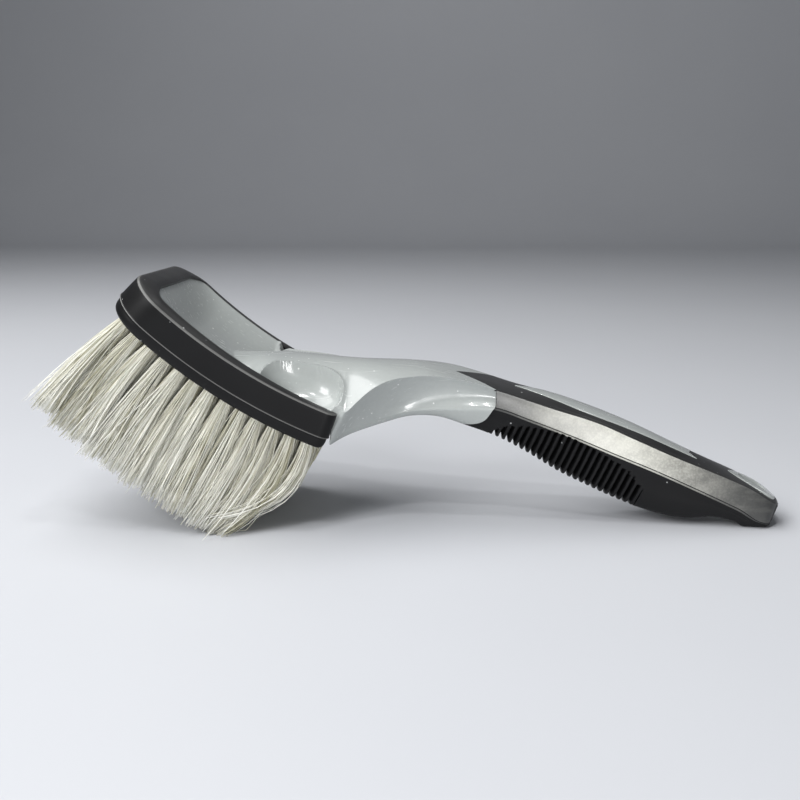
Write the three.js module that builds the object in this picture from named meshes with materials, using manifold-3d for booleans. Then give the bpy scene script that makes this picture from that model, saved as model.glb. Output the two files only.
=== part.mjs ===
// Wheel brush: a short-handled car wash brush with a bowed, dished head, an arched neck, a finned grip
// and thirteen rows of filament tufts. It lies as it rests on a bench: on its bristle tips at one end
// and on the foot under its tail at the other.
// Millimetres, +Z up. +X runs from the head to the tail and the brush is symmetric about the plane Y = 0.
// While it is built, X = 0 is at the foot. The group is then moved so that the origin is the bottom centre
// of the bounding box.

import * as THREE from "three";
import { ParametricGeometry } from "three/addons/geometries/ParametricGeometry.js";
import { mergeVertices } from "three/addons/utils/BufferGeometryUtils.js";
import Module from "manifold-3d";

// ---- driving dimensions ----

const GAP = 0.3; // between touching pieces

// The head is bowed: its top ridge is an arc, and u is measured along that arc from its lowest tangent
// point HEAD_MID, negative towards the toe. v runs across and t is the depth below the ridge.
const HEAD_WIDTH = 67;
const HEAD_TOE = 45.4; // from HEAD_MID to the toe end, along the ridge
const HEAD_HEEL = 43.1; // from HEAD_MID to the end that faces the grip
const HEAD_SLOPE = THREE.MathUtils.degToRad(33.1); // of the ridge at HEAD_MID
const HEAD_MID = new THREE.Vector2(-193.1, 64.8); // x, z
const BOW_RADIUS = 195;

const BUMPER_HEIGHT = 14; // from the ridge to the bottom of the lip
const BUMPER_PARTING = 9.6; // depth of the parting line on the outer wall
const BUMPER_WALL = 2.8; // beside the block
const BUMPER_MARGIN = 4.6; // black margin on top, along the sides
const TOE_MARGIN = 8.5; // black margin on top, at the toe
const TOE_RADIUS = 15; // outer corner in plan
const TOE_PANEL_RADIUS = 8; // corner of the grey panel in plan
const HEEL_RADIUS = 4;
const CROWN = 1.6; // how far the top margin rises inwards from the ridge
const MARGIN_DEPTH = 3.2; // thickness of the bumper's margin over the plate

const DISH_DEPTH = 3.8; // of the panel's middle below the ridge
const PLATE_BOTTOM = 7; // depth of the plate's underside
const BLOCK_BOTTOM = 13.4; // depth of the face that the tufts leave
const BLOCK_HEEL = 3.2; // how far the block stops short of the head's end

const TUFT_ROWS = 13; // along the head
const TUFTS_PER_ROW = 7; // across the head
const ROW_PITCH = 6.08; // along the ridge arc
const TUFT_PITCH = 8.1; // across
const TUFT_DIAMETER = 4.6;
const TUFT_SIDES = 6;
const TUFT_SET = 4.5; // how deep a tuft sits in its hole
const BRISTLE_LENGTH = 49; // beyond the block
const TUFT_FREE = 15; // how far the tufts of a row stay apart
const BRISTLE_FLARE = 3.5; // sideways spread of a row's ends at the tips
const SWEEP_TOE = THREE.MathUtils.degToRad(7); // lean of the tips towards the toe, at the toe
const SWEEP_HEEL = THREE.MathUtils.degToRad(38); // the same at the heel, where the bench bends them

const NECK_START = -197.2; // where the neck's top leaves the dish
const POCKET_REACH = [14.2, 13.6, 12.6]; // half-sizes of the ball that scoops a pocket
const POCKET_TILT = THREE.MathUtils.degToRad(16);
const POCKET_BACK = 13.8; // from the neck's shoulder to the pocket's middle
const POCKET_INSET = 3; // of the pocket's middle from the bumper's margin
const POCKET_HEIGHT = 58.8;
const GRIP_START = -99.2; // side joint of grey neck and black grip
const TAIL_END = 8.6;
const GRIP_HALF_WIDTH = 13.6;
const GRIP_NOSE = 15; // how far the black top runs forwards over the neck
const SKIN = 3.2; // grip wall over the spine
const FIN_PITCH = 2.4;
const FIN_THICKNESS = 1.25;
const FIN_COUNT = 23;
const FIN_DEPTH = 3.4;
const FIN_START = -97.6; // front face of the first fin

const LENS_START = -92; // long grey inlay on the grip's top
const LENS_END = -24;
const LENS_HALF_WIDTH = 7.8;
const TAIL_LENS_LENGTH = 15.5;
const TAIL_LENS_HALF_WIDTH = 8.6;
const HOLE_LENGTH = 11.5; // hang hole
const HOLE_WIDTH = 8;
const HOLE_RADIUS = 2.8; // of its corners
const HOLE_AT = new THREE.Vector2(-1.6, 14.2); // x, z of the hole's centre at the top face
const HOLE_TILT = THREE.MathUtils.degToRad(25); // of its axis from the vertical

// Side-view lines of the handle: [x, z] at the middle plane or at the named edge.
const TOP_LINE = [
  [-201, 62.9], [-174, 61.8], [-158, 60.7], [-137, 59.4], [-126, 58.5], [-114, 56], [-95, 51.4],
  [-78, 47.6], [-62, 42.2], [-47, 36.2], [-31, 28.6], [-11, 18.9], [0, 14], [5, 10.6], [9, 7.5],
];
const RIDGE_LINE = [
  [-154.5, 44.3], [-145, 52.9], [-138, 56.2], [-130, 57.1], [-123, 57], [-115, 56], [-107, 54], [-99, 51.6],
  [-79, 45.1], [-62, 39.8], [-48, 33.7], [-33, 27.1], [-15, 19.8], [-3, 14.5], [3, 11.5], [9, 8.4],
];
const FLANK_LINE = [
  [-155, 34.5], [-150, 37.5], [-141, 41.2], [-134, 43], [-128, 44.1], [-112, 45], [-100, 45.1],
  [-86, 40.4], [-71, 34.7], [-56, 28.5], [-41, 22.4], [-26, 15.7], [-10, 8.2], [0, 3.3], [9, 1.4],
];
const BOTTOM_LINE = [
  [-155, 32.6], [-150, 34.4], [-145, 36.6], [-136, 39.8], [-128, 40.8], [-120, 40.2], [-112, 37.6],
  [-99, 32.6], [-88, 26.8], [-75, 18.9], [-62, 12.6], [-52, 8.2], [-43, 5], [-34, 2.9], [-27, 2.4],
  [-18, 3.2], [-12, 1.8], [-8, -0.6], [-6, -0.8], [3, -0.8], [6, -0.4], [9, 1],
];
// Half-widths of the same edges: [x, y].
const RIDGE_SPREAD = [
  [-154.5, 30], [-145, 25], [-138, 21], [-130, 17.6], [-123, 15.4], [-115, 14], [-99, 13], [-70, 13.2],
  [-40, 13], [0, 11.9], [9, 11],
];
const FLANK_SPREAD = [
  [-155, 30], [-150, 24], [-145, 19.4], [-141, 16.2], [-134, 13.2], [-128, 12.6], [-112, 13.2], [-99, 13.6],
  [-70, 13.9], [-40, 13.7], [0, 12.6], [9, 12],
];
const BOTTOM_SPREAD = [
  [-155, 29.6], [-150, 22.6], [-145, 18], [-141, 14.6], [-136, 12], [-128, 10], [-112, 9.4], [-99, 8.6],
  [-70, 7.8], [-45, 8.4], [-27, 9.6], [0, 10.4], [9, 10],
];
// Top edge of the finger window in side view, and the under edge of the grey-to-black joint.
const WINDOW_ARC = [
  [-100, 35.6], [-95, 37.4], [-86, 37.5], [-77, 36.2], [-69, 33.1], [-61, 28.8], [-53, 23.4], [-48, 18.6],
  [-43.5, 11.5], [-41, 4],
];
const JOINT_HOOK = [
  [0, 46], [-1.4, 43.6], [-3.9, 39.9], [-7.4, 38.2], [-13, 37.6], [-13, 20],
];

// ---- finishes ----

const LIGHT_GREY = new THREE.MeshStandardMaterial({ color: 0xb3b7b6, roughness: 0.28, metalness: 0 });
const SOFT_BLACK = new THREE.MeshStandardMaterial({ color: 0x1b1b1d, roughness: 0.48, metalness: 0 });
const GRIP_BLACK = new THREE.MeshStandardMaterial({ color: 0x222224, roughness: 0.4, metalness: 0 });
const BLOCK_BLACK = new THREE.MeshStandardMaterial({ color: 0x141415, roughness: 0.55, metalness: 0 });
const FILAMENT = new THREE.MeshStandardMaterial({ color: 0xd9d6c6, roughness: 0.5, metalness: 0 });

// ---- solids ----

const wasm = await Module();
wasm.setup();

function solidOf(geometry) {
  const bare = geometry.clone();
  bare.deleteAttribute("normal");
  bare.deleteAttribute("uv");
  const merged = mergeVertices(bare, 1e-4);
  const corners = merged.index.array;
  const faces = [];
  for (let i = 0; i < corners.length; i += 3) {
    const [a, b, c] = corners.subarray(i, i + 3);
    if (a !== b && b !== c && c !== a) faces.push(a, b, c);
  }
  const vertProperties = merged.attributes.position.array;
  const made = new wasm.Manifold(
    new wasm.Mesh({ numProp: 3, vertProperties, triVerts: new Uint32Array(faces) })
  );
  if (made.volume() > 0) return made;
  return new wasm.Manifold(
    new wasm.Mesh({ numProp: 3, vertProperties, triVerts: new Uint32Array(faces.reverse()) })
  );
}

function meshOf(solid, name, material) {
  const { vertProperties, triVerts } = solid.getMesh();
  const geometry = new THREE.BufferGeometry();
  geometry.setAttribute("position", new THREE.BufferAttribute(vertProperties, 3));
  geometry.setIndex(new THREE.BufferAttribute(triVerts, 1));
  geometry.computeVertexNormals();
  const mesh = new THREE.Mesh(geometry, material);
  mesh.name = name;
  return mesh;
}

// A closed skin over rings of points, one ring per station, with a flat cap on each end.
function loft(rings) {
  const middleOf = (ring) =>
    ring.reduce((sum, point) => sum.add(point), new THREE.Vector3()).divideScalar(ring.length);
  const first = middleOf(rings[0]);
  const last = middleOf(rings[rings.length - 1]);
  const around = rings[0].length;
  const rows = [rings[0].map(() => first), ...rings, rings[0].map(() => last)];
  const along = rows.length - 1;
  const pick = (a, b, target) =>
    target.copy(rows[Math.round(b * along)][Math.round(a * around) % around]);
  return solidOf(new ParametricGeometry(pick, around, along));
}

// The full ring of a section given as half an outline, from the top middle to the bottom middle.
function mirrored(half, place) {
  const other = half.slice(1, -1).reverse();
  return [
    ...half.map(([y, z]) => place(y, z)),
    ...other.map(([y, z]) => place(-y, z)),
  ];
}

// The outline of a THREE.Shape in X and Z, swept across the brush from -halfWidth to +halfWidth.
function acrossPrism(outline, halfWidth) {
  const geometry = new THREE.ExtrudeGeometry(outline, { depth: 2 * halfWidth, bevelEnabled: false });
  geometry.translate(0, 0, -halfWidth);
  geometry.rotateX(Math.PI / 2);
  return solidOf(geometry);
}

// The outline of a THREE.Shape in X and Y, raised from bottom to top.
function uprightPrism(outline, bottom, top) {
  const geometry = new THREE.ExtrudeGeometry(outline, { depth: top - bottom, bevelEnabled: false });
  geometry.translate(0, 0, bottom);
  return solidOf(geometry);
}

// Everything above the bench that the brush lies on.
function aboveBench() {
  return solidOf(new THREE.BoxGeometry(800, 400, 400).translate(0, 0, 200));
}

const span = (from, to, steps) =>
  Array.from({ length: steps + 1 }, (_, i) => from + ((to - from) * i) / steps);

const mix = (a, b, share) => a + (b - a) * share;

// A smooth line through points [x, value], level with its end values beyond them.
function lineThrough(points) {
  const slope = (i) => {
    const [low, high] = [points[Math.max(i - 1, 0)], points[Math.min(i + 1, points.length - 1)]];
    return (high[1] - low[1]) / (high[0] - low[0]);
  };
  return (x) => {
    if (x <= points[0][0]) return points[0][1];
    if (x >= points[points.length - 1][0]) return points[points.length - 1][1];
    const i = points.findIndex(([at]) => at > x) - 1;
    const step = points[i + 1][0] - points[i][0];
    const f = (x - points[i][0]) / step;
    const start = (1 + 2 * f) * (1 - f) ** 2 * points[i][1] + f * (1 - f) ** 2 * step * slope(i);
    const end = f * f * (3 - 2 * f) * points[i + 1][1] - f * f * (1 - f) * step * slope(i + 1);
    return start + end;
  };
}

// ---- the bowed head frame ----

const RIGHT_OF_RIDGE = new THREE.Vector2(Math.cos(HEAD_SLOPE), -Math.sin(HEAD_SLOPE));
const ABOVE_RIDGE = new THREE.Vector2(Math.sin(HEAD_SLOPE), Math.cos(HEAD_SLOPE));
const BOW_CENTRE = HEAD_MID.clone().addScaledVector(ABOVE_RIDGE, BOW_RADIUS);

function onHead(u, v, t) {
  const turn = u / BOW_RADIUS;
  const reach = BOW_RADIUS + t;
  const x = BOW_CENTRE.x + reach * (Math.sin(turn) * RIGHT_OF_RIDGE.x - Math.cos(turn) * ABOVE_RIDGE.x);
  const z = BOW_CENTRE.y + reach * (Math.sin(turn) * RIGHT_OF_RIDGE.y - Math.cos(turn) * ABOVE_RIDGE.y);
  return new THREE.Vector3(x, v, z);
}

// The height at which the middle plane's arc of depth t passes over x.
const bowHeight = (x, t) => BOW_CENTRE.y - Math.sqrt((BOW_RADIUS + t) ** 2 - (x - BOW_CENTRE.x) ** 2);

// Stations from one end to the other, closer together in the rounded corner of each end.
function headStations(from, to, fromRadius, toRadius) {
  const corner = (radius, steps) => span(0, 1, steps).map((f) => radius * (1 - Math.cos((f * Math.PI) / 2)));
  const start = corner(fromRadius, 5).map((d) => from + d);
  const end = corner(toRadius, 3).map((d) => to - d).reverse();
  return [...start, ...span(from + fromRadius, to - toRadius, 14).slice(1, -1), ...end];
}

// Half the width in plan at u of a piece with rounded corners between two ends.
function planHalfWidth(u, half, from, to, fromRadius, toRadius) {
  const inset = (distance, radius) =>
    distance >= radius ? 0 : radius - Math.sqrt(Math.max(radius ** 2 - (radius - distance) ** 2, 0));
  return half - inset(u - from, fromRadius) - inset(to - u, toRadius);
}

// A solid in the head frame whose section at u is half an outline [v, t] made from its half-width there.
function bowed({ half, from, to, fromRadius, toRadius }, section) {
  const rings = headStations(from, to, fromRadius, toRadius).map((u) => {
    const width = planHalfWidth(u, half, from, to, fromRadius, toRadius);
    return mirrored(section(width, u), (v, t) => onHead(u, v, t));
  });
  return loft(rings);
}

const slab = (top, bottom) => (width) => [[0, top], [width, top], [width, bottom], [0, bottom]];

// Plans in the head frame, each grown outwards by a distance.
const outerPlan = (grown) => ({
  half: HEAD_WIDTH / 2 + grown, from: -HEAD_TOE - grown, to: HEAD_HEEL + grown,
  fromRadius: TOE_RADIUS + grown, toRadius: HEEL_RADIUS + grown,
});
const panelPlan = (grown) => ({
  half: HEAD_WIDTH / 2 - BUMPER_MARGIN + grown, from: -HEAD_TOE + TOE_MARGIN - grown, to: HEAD_HEEL + 12,
  fromRadius: TOE_PANEL_RADIUS + grown, toRadius: 1,
});
const blockPlan = (grown) => ({
  half: HEAD_WIDTH / 2 - BUMPER_WALL + grown, from: -HEAD_TOE + BUMPER_WALL - grown,
  to: HEAD_HEEL - BLOCK_HEEL + grown, fromRadius: TOE_RADIUS - BUMPER_WALL + grown, toRadius: 2,
});
const seatPlan = (grown) => ({ ...blockPlan(grown), to: HEAD_HEEL + 12, toRadius: 1 });

const marginRise = (u) => mix(CROWN * 1.5, 0, (u + HEAD_TOE) / (HEAD_TOE + HEAD_HEEL));

// ---- head pieces ----

function bumperSection(width, u) {
  const rise = marginRise(u);
  return [
    [0, -rise], [width - BUMPER_MARGIN, -rise], [width - BUMPER_MARGIN / 2, -0.7 * rise], [width - 0.9, -0.1],
    [width, 0.9], [width, BUMPER_PARTING], [width - 0.5, BUMPER_PARTING + 0.3],
    [width - 0.9, BUMPER_HEIGHT - 1.8], [width - 2.2, BUMPER_HEIGHT], [0, BUMPER_HEIGHT],
  ];
}

function makeBumper() {
  const wrap = bowed(outerPlan(0), bumperSection);
  const panelHole = bowed(panelPlan(0), slab(-12, MARGIN_DEPTH + 0.1));
  const seat = bowed(seatPlan(0), slab(MARGIN_DEPTH, BUMPER_HEIGHT + 12));
  return wrap.subtract(panelHole).subtract(seat);
}

// The bumper with the clearance that its neighbours keep from it.
function bumperClearance() {
  const wrap = bowed(outerPlan(GAP), slab(-CROWN * 1.5 - 1, BUMPER_HEIGHT + GAP));
  const panelHole = bowed(panelPlan(-GAP), slab(-12, MARGIN_DEPTH + GAP + 0.1));
  const seat = bowed(seatPlan(-GAP), slab(MARGIN_DEPTH + GAP, BUMPER_HEIGHT + 12));
  return wrap.subtract(panelHole).subtract(seat);
}

// The dish: deepest along the middle, rising to the bumper's margin at the sides and at the toe.
function dishSection(width, u) {
  const edge = -marginRise(u) + 0.3;
  const toeShare = THREE.MathUtils.smoothstep(u, -HEAD_TOE + TOE_MARGIN - 1, -HEAD_TOE + TOE_MARGIN + 16);
  const depth = mix(edge + 0.6, DISH_DEPTH, toeShare);
  const surface = span(0, 1, 6).map((f) => [f * width, mix(depth, edge, f * f)]);
  return [...surface, [width, MARGIN_DEPTH + 1], [0, MARGIN_DEPTH + 1.6]];
}

function makePlate() {
  const panel = bowed({ ...panelPlan(-GAP), to: HEAD_HEEL - 4 }, dishSection);
  const flange = bowed(
    { ...seatPlan(-GAP), to: HEAD_HEEL - BLOCK_HEEL + GAP, toRadius: 1 },
    slab(MARGIN_DEPTH + GAP, PLATE_BOTTOM)
  );
  return panel.add(flange);
}

const tuftRowAt = (row) => (HEAD_HEEL - HEAD_TOE) / 2 + (row - (TUFT_ROWS - 1) / 2) * ROW_PITCH;
const tuftAcross = (tuft) => (tuft - (TUFTS_PER_ROW - 1) / 2) * TUFT_PITCH;

// A short round stub along the depth direction, for a tuft's root or its hole.
function stub(u, v, radius, top, bottom) {
  const ring = (t) =>
    span(0, 1, TUFT_SIDES).slice(0, -1).map((f) => {
      const turn = 2 * Math.PI * f;
      return onHead(u + radius * Math.cos(turn), v + radius * Math.sin(turn), t);
    });
  return loft([ring(top), ring(bottom)]);
}

function makeBlock() {
  let block = bowed(blockPlan(-GAP), slab(PLATE_BOTTOM + GAP, BLOCK_BOTTOM));
  for (let row = 0; row < TUFT_ROWS; row += 1) {
    for (let tuft = 0; tuft < TUFTS_PER_ROW; tuft += 1) {
      const hole = stub(
        tuftRowAt(row), tuftAcross(tuft), TUFT_DIAMETER / 2 + GAP,
        BLOCK_BOTTOM - TUFT_SET - GAP, BLOCK_BOTTOM + 1
      );
      block = block.subtract(hole);
    }
  }
  return block;
}

// ---- tuft rows ----

// The filament line that starts at u: points from the block to the tip, which lean more and more
// towards the toe. The lean grows with a quarter sine wave of the distance.
function filamentLine(u, steps) {
  const share = (u + HEAD_TOE) / (HEAD_TOE + HEAD_HEEL);
  const sweep = mix(SWEEP_TOE, SWEEP_HEEL, share);
  const start = onHead(u, 0, BLOCK_BOTTOM);
  const straight = onHead(u, 0, BLOCK_BOTTOM + 1).sub(start);
  const points = [start];
  const fine = 8;
  let at = start.clone();
  for (let step = 0; step < steps * fine; step += 1) {
    const lean = sweep * Math.sin(((step + 0.5) / (steps * fine)) * (Math.PI / 2));
    const heading = straight.clone().applyAxisAngle(new THREE.Vector3(0, 1, 0), lean);
    at = at.clone().addScaledVector(heading, BRISTLE_LENGTH / (steps * fine));
    if ((step + 1) % fine === 0) points.push(at);
  }
  return points;
}

// One row: stubs that stand apart, and the curtain that they merge into.
function makeTuftRow(row) {
  const steps = 6;
  const u = tuftRowAt(row);
  const half = ROW_PITCH / 2 - GAP / 2;
  const front = filamentLine(u - half, steps);
  const back = filamentLine(u + half, steps);
  const reach = tuftAcross(TUFTS_PER_ROW - 1) + TUFT_DIAMETER / 2;
  const free = TUFT_FREE / BRISTLE_LENGTH;
  const at = (line, share) => {
    const i = Math.min(Math.floor(share * steps), steps - 1);
    return line[i].clone().lerp(line[i + 1], share * steps - i);
  };
  const ring = (share) => {
    const wide = reach + BRISTLE_FLARE * share ** 1.5;
    const [a, b] = [at(front, share), at(back, share)];
    return [[a, -1], [b, -1], [b, 1], [a, 1]].map(([p, side]) => new THREE.Vector3(p.x, side * wide, p.z));
  };
  let solid = loft(span(free, 1, steps - 1).map(ring));
  for (let tuft = 0; tuft < TUFTS_PER_ROW; tuft += 1) {
    solid = solid.add(tuftRoot(u, tuftAcross(tuft), free));
  }
  return solid.intersect(aboveBench());
}

// The part of a tuft between its hole and the curtain of its row. It follows the filament line.
function tuftRoot(u, v, free) {
  const radius = TUFT_DIAMETER / 2;
  const line = filamentLine(u, 6);
  const ring = (middle, heading, grown) => {
    const along = new THREE.Vector3(-heading.z, 0, heading.x).normalize();
    return span(0, 1, TUFT_SIDES).slice(0, -1).map((f) => {
      const turn = 2 * Math.PI * f;
      const point = middle.clone().addScaledVector(along, grown * Math.cos(turn));
      point.y = v + grown * Math.sin(turn);
      return point;
    });
  };
  const heading = line[0].clone().sub(onHead(u, 0, 0)).normalize();
  const root = line[0].clone().addScaledVector(heading, -TUFT_SET);
  const deep = line[1].clone().lerp(line[2], free * 6 - 1 + 0.25);
  const down = line[2].clone().sub(line[1]).normalize();
  return loft([
    ring(root, heading, radius), ring(line[1], down, radius * 1.08), ring(deep, down, radius * 1.12),
  ]);
}

// ---- the handle's outer form ----

const topAt = lineThrough(TOP_LINE);
const ridgeAt = lineThrough(RIDGE_LINE);
const flankAt = lineThrough(FLANK_LINE);
const bottomAt = lineThrough(BOTTOM_LINE);
const HEEL_X = RIDGE_LINE[0][0];
// The half-widths above were taken with this head width and this grip half-width, and scale with them.
const [DRAWN_HEAD_WIDTH, DRAWN_GRIP_HALF_WIDTH] = [67, 13.6];
const gripShare = (x) => THREE.MathUtils.clamp((x - GRIP_START + 20) / 20, 0, 1);
const widthScale = (x) => mix(1, GRIP_HALF_WIDTH / DRAWN_GRIP_HALF_WIDTH, gripShare(x));
const headShare = (x) => 1 - THREE.MathUtils.smoothstep(x, HEEL_X, HEEL_X + 40);
const headScale = (x) => mix(1, HEAD_WIDTH / DRAWN_HEAD_WIDTH, headShare(x));
const spread = (points) => {
  const line = lineThrough(points);
  return (x) => line(x) * widthScale(x) * headScale(x);
};
const ridgeSpread = spread(RIDGE_SPREAD);
const flankSpread = spread(FLANK_SPREAD);
const bottomSpread = spread(BOTTOM_SPREAD);

// Half a section of the handle at x, from the top middle to the bottom middle, drawn in by an inset.
// In the head it stops at the level of the bumper's margin and inside the plate.
function handleSection(x, inset, bottomInset) {
  const top = topAt(x) - inset;
  const inHead = x < HEEL_X;
  const margin = bowHeight(x, -0.4);
  const ridge = inHead ? Math.min(topAt(x) - 0.1, margin) : ridgeAt(x) - 0.6 * inset;
  const ridgeHalf = ridgeSpread(x) - inset;
  const blockFace = Math.min(bowHeight(x, BUMPER_HEIGHT - 0.4), bottomAt(x) + 9);
  const floor = inHead ? blockFace : bottomAt(x) + bottomInset;
  const bottom = inHead && x < HEEL_X - 10 ? bowHeight(x, MARGIN_DEPTH + 2.2) : floor;
  const flank = inHead ? mix(bottom, ridge, 0.2) : Math.max(flankAt(x), bottom + 0.5);
  const flankHalf = inHead ? ridgeHalf - 1 : flankSpread(x) - inset;
  const bottomHalf = inHead ? ridgeHalf - 2 : bottomSpread(x) - 0.5 * inset;
  const crown = (f) => mix(top, ridge, f ** 2.2);
  const hollow = x < GRIP_START ? 1.6 * THREE.MathUtils.smoothstep(GRIP_START - x, 0, 18) : 0;
  const scoop = inHead ? 0 : hollow;
  return [
    [0, top], [0.3 * ridgeHalf, crown(0.3)], [0.6 * ridgeHalf, crown(0.6)], [0.85 * ridgeHalf, crown(0.85)],
    [ridgeHalf, ridge],
    [mix(ridgeHalf, flankHalf, 0.33) - scoop, mix(ridge, flank, 0.33)],
    [mix(ridgeHalf, flankHalf, 0.67) - scoop, mix(ridge, flank, 0.67)],
    [flankHalf, flank], [mix(flankHalf, bottomHalf, 0.6), mix(flank, bottom, 0.7)],
    [bottomHalf * 0.92, bottom], [0, bottom],
  ];
}

function handleForm(from, to, steps, inset, bottomInset) {
  const rings = span(from, to, steps).map((x) =>
    mirrored(handleSection(x, inset, bottomInset), (y, z) => new THREE.Vector3(x, y, z))
  );
  return loft(rings);
}

// The rounded end of the tail, in plan and in side view.
function tailTrim(inset) {
  const end = TAIL_END - inset;
  const half = GRIP_HALF_WIDTH - 1 - inset;
  const plan = new THREE.Shape();
  plan.moveTo(-260, -60);
  plan.lineTo(-8, -60);
  plan.lineTo(-8, -half - 0.4);
  plan.quadraticCurveTo(end - 3.4, -half + 0.4, end - 2.6, -half + 5);
  plan.quadraticCurveTo(end + 2.6, 0, end - 2.6, half - 5);
  plan.quadraticCurveTo(end - 3.4, half - 0.4, -8, half + 0.4);
  plan.lineTo(-8, 60);
  plan.lineTo(-260, 60);
  const side = new THREE.Shape();
  side.moveTo(-260, -5);
  side.lineTo(end - 5, -5);
  side.lineTo(end - 4.6, 0);
  side.quadraticCurveTo(end - 1, 0.4, end - 0.2, 3.2);
  side.quadraticCurveTo(end + 0.8, 6.2, end - 3.2, 11.6);
  side.lineTo(end - 12, 40);
  side.lineTo(-20, 120);
  side.lineTo(-260, 120);
  return uprightPrism(plan, -10, 130).intersect(acrossPrism(side, 70));
}

// ---- the joint between neck and grip, and the inlays ----

// Everything behind the joint in side view: the black grip, grown by a distance.
function gripSide(grown) {
  const outline = new THREE.Shape();
  outline.moveTo(GRIP_START - grown, 90);
  for (const [x, z] of JOINT_HOOK) outline.lineTo(GRIP_START + x - grown, z + grown);
  outline.lineTo(GRIP_START - 13 - grown, -10);
  outline.lineTo(30, -10);
  outline.lineTo(30, 90);
  return acrossPrism(outline, 60);
}

// The pointed nose of the grip's top in plan, and how deep it lies in the neck.
function gripNose(grown) {
  const half = GRIP_HALF_WIDTH + 4;
  const outline = new THREE.Shape();
  outline.moveTo(GRIP_START - GRIP_NOSE - 1.6 * grown, 0);
  outline.lineTo(GRIP_START + 4, half + grown);
  outline.lineTo(GRIP_START + 10, half + grown);
  outline.lineTo(GRIP_START + 10, -half - grown);
  outline.lineTo(GRIP_START + 4, -half - grown);
  const depth = 2.6 + grown;
  const skinSide = new THREE.Shape();
  skinSide.moveTo(GRIP_START - 30, topAt(GRIP_START - 30) - depth);
  for (const x of span(GRIP_START - 24, GRIP_START + 12, 9)) skinSide.lineTo(x, topAt(x) - depth);
  skinSide.lineTo(GRIP_START + 12, 90);
  skinSide.lineTo(GRIP_START - 30, 90);
  return uprightPrism(outline, 20, 90).intersect(acrossPrism(skinSide, 40));
}

// A leaf in plan: pointed at the front, pointed or rounded at the back.
function leaf(from, to, half, widest, grown) {
  const shape = new THREE.Shape();
  const middle = mix(from, to, widest);
  shape.moveTo(from - grown, 0);
  shape.quadraticCurveTo(mix(from, middle, 0.45), half + grown, middle, half + grown);
  shape.quadraticCurveTo(mix(middle, to, 0.75), half + grown, to + grown, 0);
  shape.quadraticCurveTo(mix(middle, to, 0.75), -half - grown, middle, -half - grown);
  shape.quadraticCurveTo(mix(from, middle, 0.45), -half - grown, from - grown, 0);
  return shape;
}

const longLens = (grown) => leaf(LENS_START, LENS_END, LENS_HALF_WIDTH, 0.42, grown);
const tailLens = (grown) =>
  leaf(
    HOLE_AT.x - TAIL_LENS_LENGTH * 0.52, HOLE_AT.x + TAIL_LENS_LENGTH * 0.48,
    TAIL_LENS_HALF_WIDTH, 0.55, grown
  );

// Both inlays as posts that stand on the spine.
function lensPosts(grown) {
  const long = uprightPrism(longLens(grown), 0, 90).intersect(topSkin(-1.5));
  const tail = uprightPrism(tailLens(grown), 0, 90).intersect(topSkin(-1.5));
  return long.add(tail);
}

// The upper part of the handle's form, from below the spine's top to past the surface.
function topSkin(extra) {
  const xs = span(GRIP_START - 6, TAIL_END + 2, 24);
  const side = new THREE.Shape();
  side.moveTo(xs[0], topAt(xs[0]) - SKIN + extra);
  for (const x of xs) side.lineTo(x, topAt(x) - SKIN + extra);
  side.lineTo(xs[xs.length - 1], 90);
  side.lineTo(xs[0], 90);
  return acrossPrism(side, 40);
}

// The hang hole's bore through the tail, grown by a distance.
function hangHole(grown) {
  const [length, width] = [HOLE_LENGTH / 2 + grown, HOLE_WIDTH / 2 + grown];
  const radius = HOLE_RADIUS + grown;
  const outline = new THREE.Shape();
  outline.moveTo(-length + radius, -width);
  outline.lineTo(length - radius, -width);
  outline.absarc(length - radius, -width + radius, radius, -Math.PI / 2, 0, false);
  outline.absarc(length - radius, width - radius, radius, 0, Math.PI / 2, false);
  outline.absarc(-length + radius, width - radius, radius, Math.PI / 2, Math.PI, false);
  outline.absarc(-length + radius, -width + radius, radius, Math.PI, 1.5 * Math.PI, false);
  const geometry = new THREE.ExtrudeGeometry(outline, { depth: 60, bevelEnabled: false, curveSegments: 5 });
  geometry.translate(0, 0, -30);
  geometry.rotateY(HOLE_TILT);
  geometry.translate(HOLE_AT.x, 0, HOLE_AT.y);
  return solidOf(geometry);
}

// ---- handle pieces ----

// The spine inside the grip, drawn in from the handle's form and grown by a distance.
function makeSpine(grown) {
  const form = handleForm(GRIP_START - 22, TAIL_END - SKIN + grown, 18, SKIN - grown, FIN_DEPTH + 1.4 - grown);
  return form.intersect(tailTrim(SKIN - grown));
}

// One blind pocket beside the web, as the ball that scoops it out.
function pocket(side) {
  const ball = new THREE.SphereGeometry(1, 20, 14);
  ball.scale(...POCKET_REACH);
  ball.rotateY(POCKET_TILT);
  const across = side * (HEAD_WIDTH / 2 - BUMPER_MARGIN - POCKET_INSET);
  ball.translate(HEEL_X - POCKET_BACK, across, POCKET_HEIGHT);
  return solidOf(ball);
}

function makeCore(form) {
  const neckHoles = gripSide(GAP).add(gripNose(GAP));
  const blockRoom = bowed(blockPlan(0), slab(PLATE_BOTTOM, BUMPER_HEIGHT + 14));
  let neck = form.subtract(neckHoles).subtract(bumperClearance()).subtract(blockRoom);
  neck = neck.add(makePlate()).subtract(pocket(1)).subtract(pocket(-1));
  const posts = lensPosts(0).intersect(form);
  return neck.add(makeSpine(0)).add(posts).subtract(hangHole(0));
}

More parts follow.
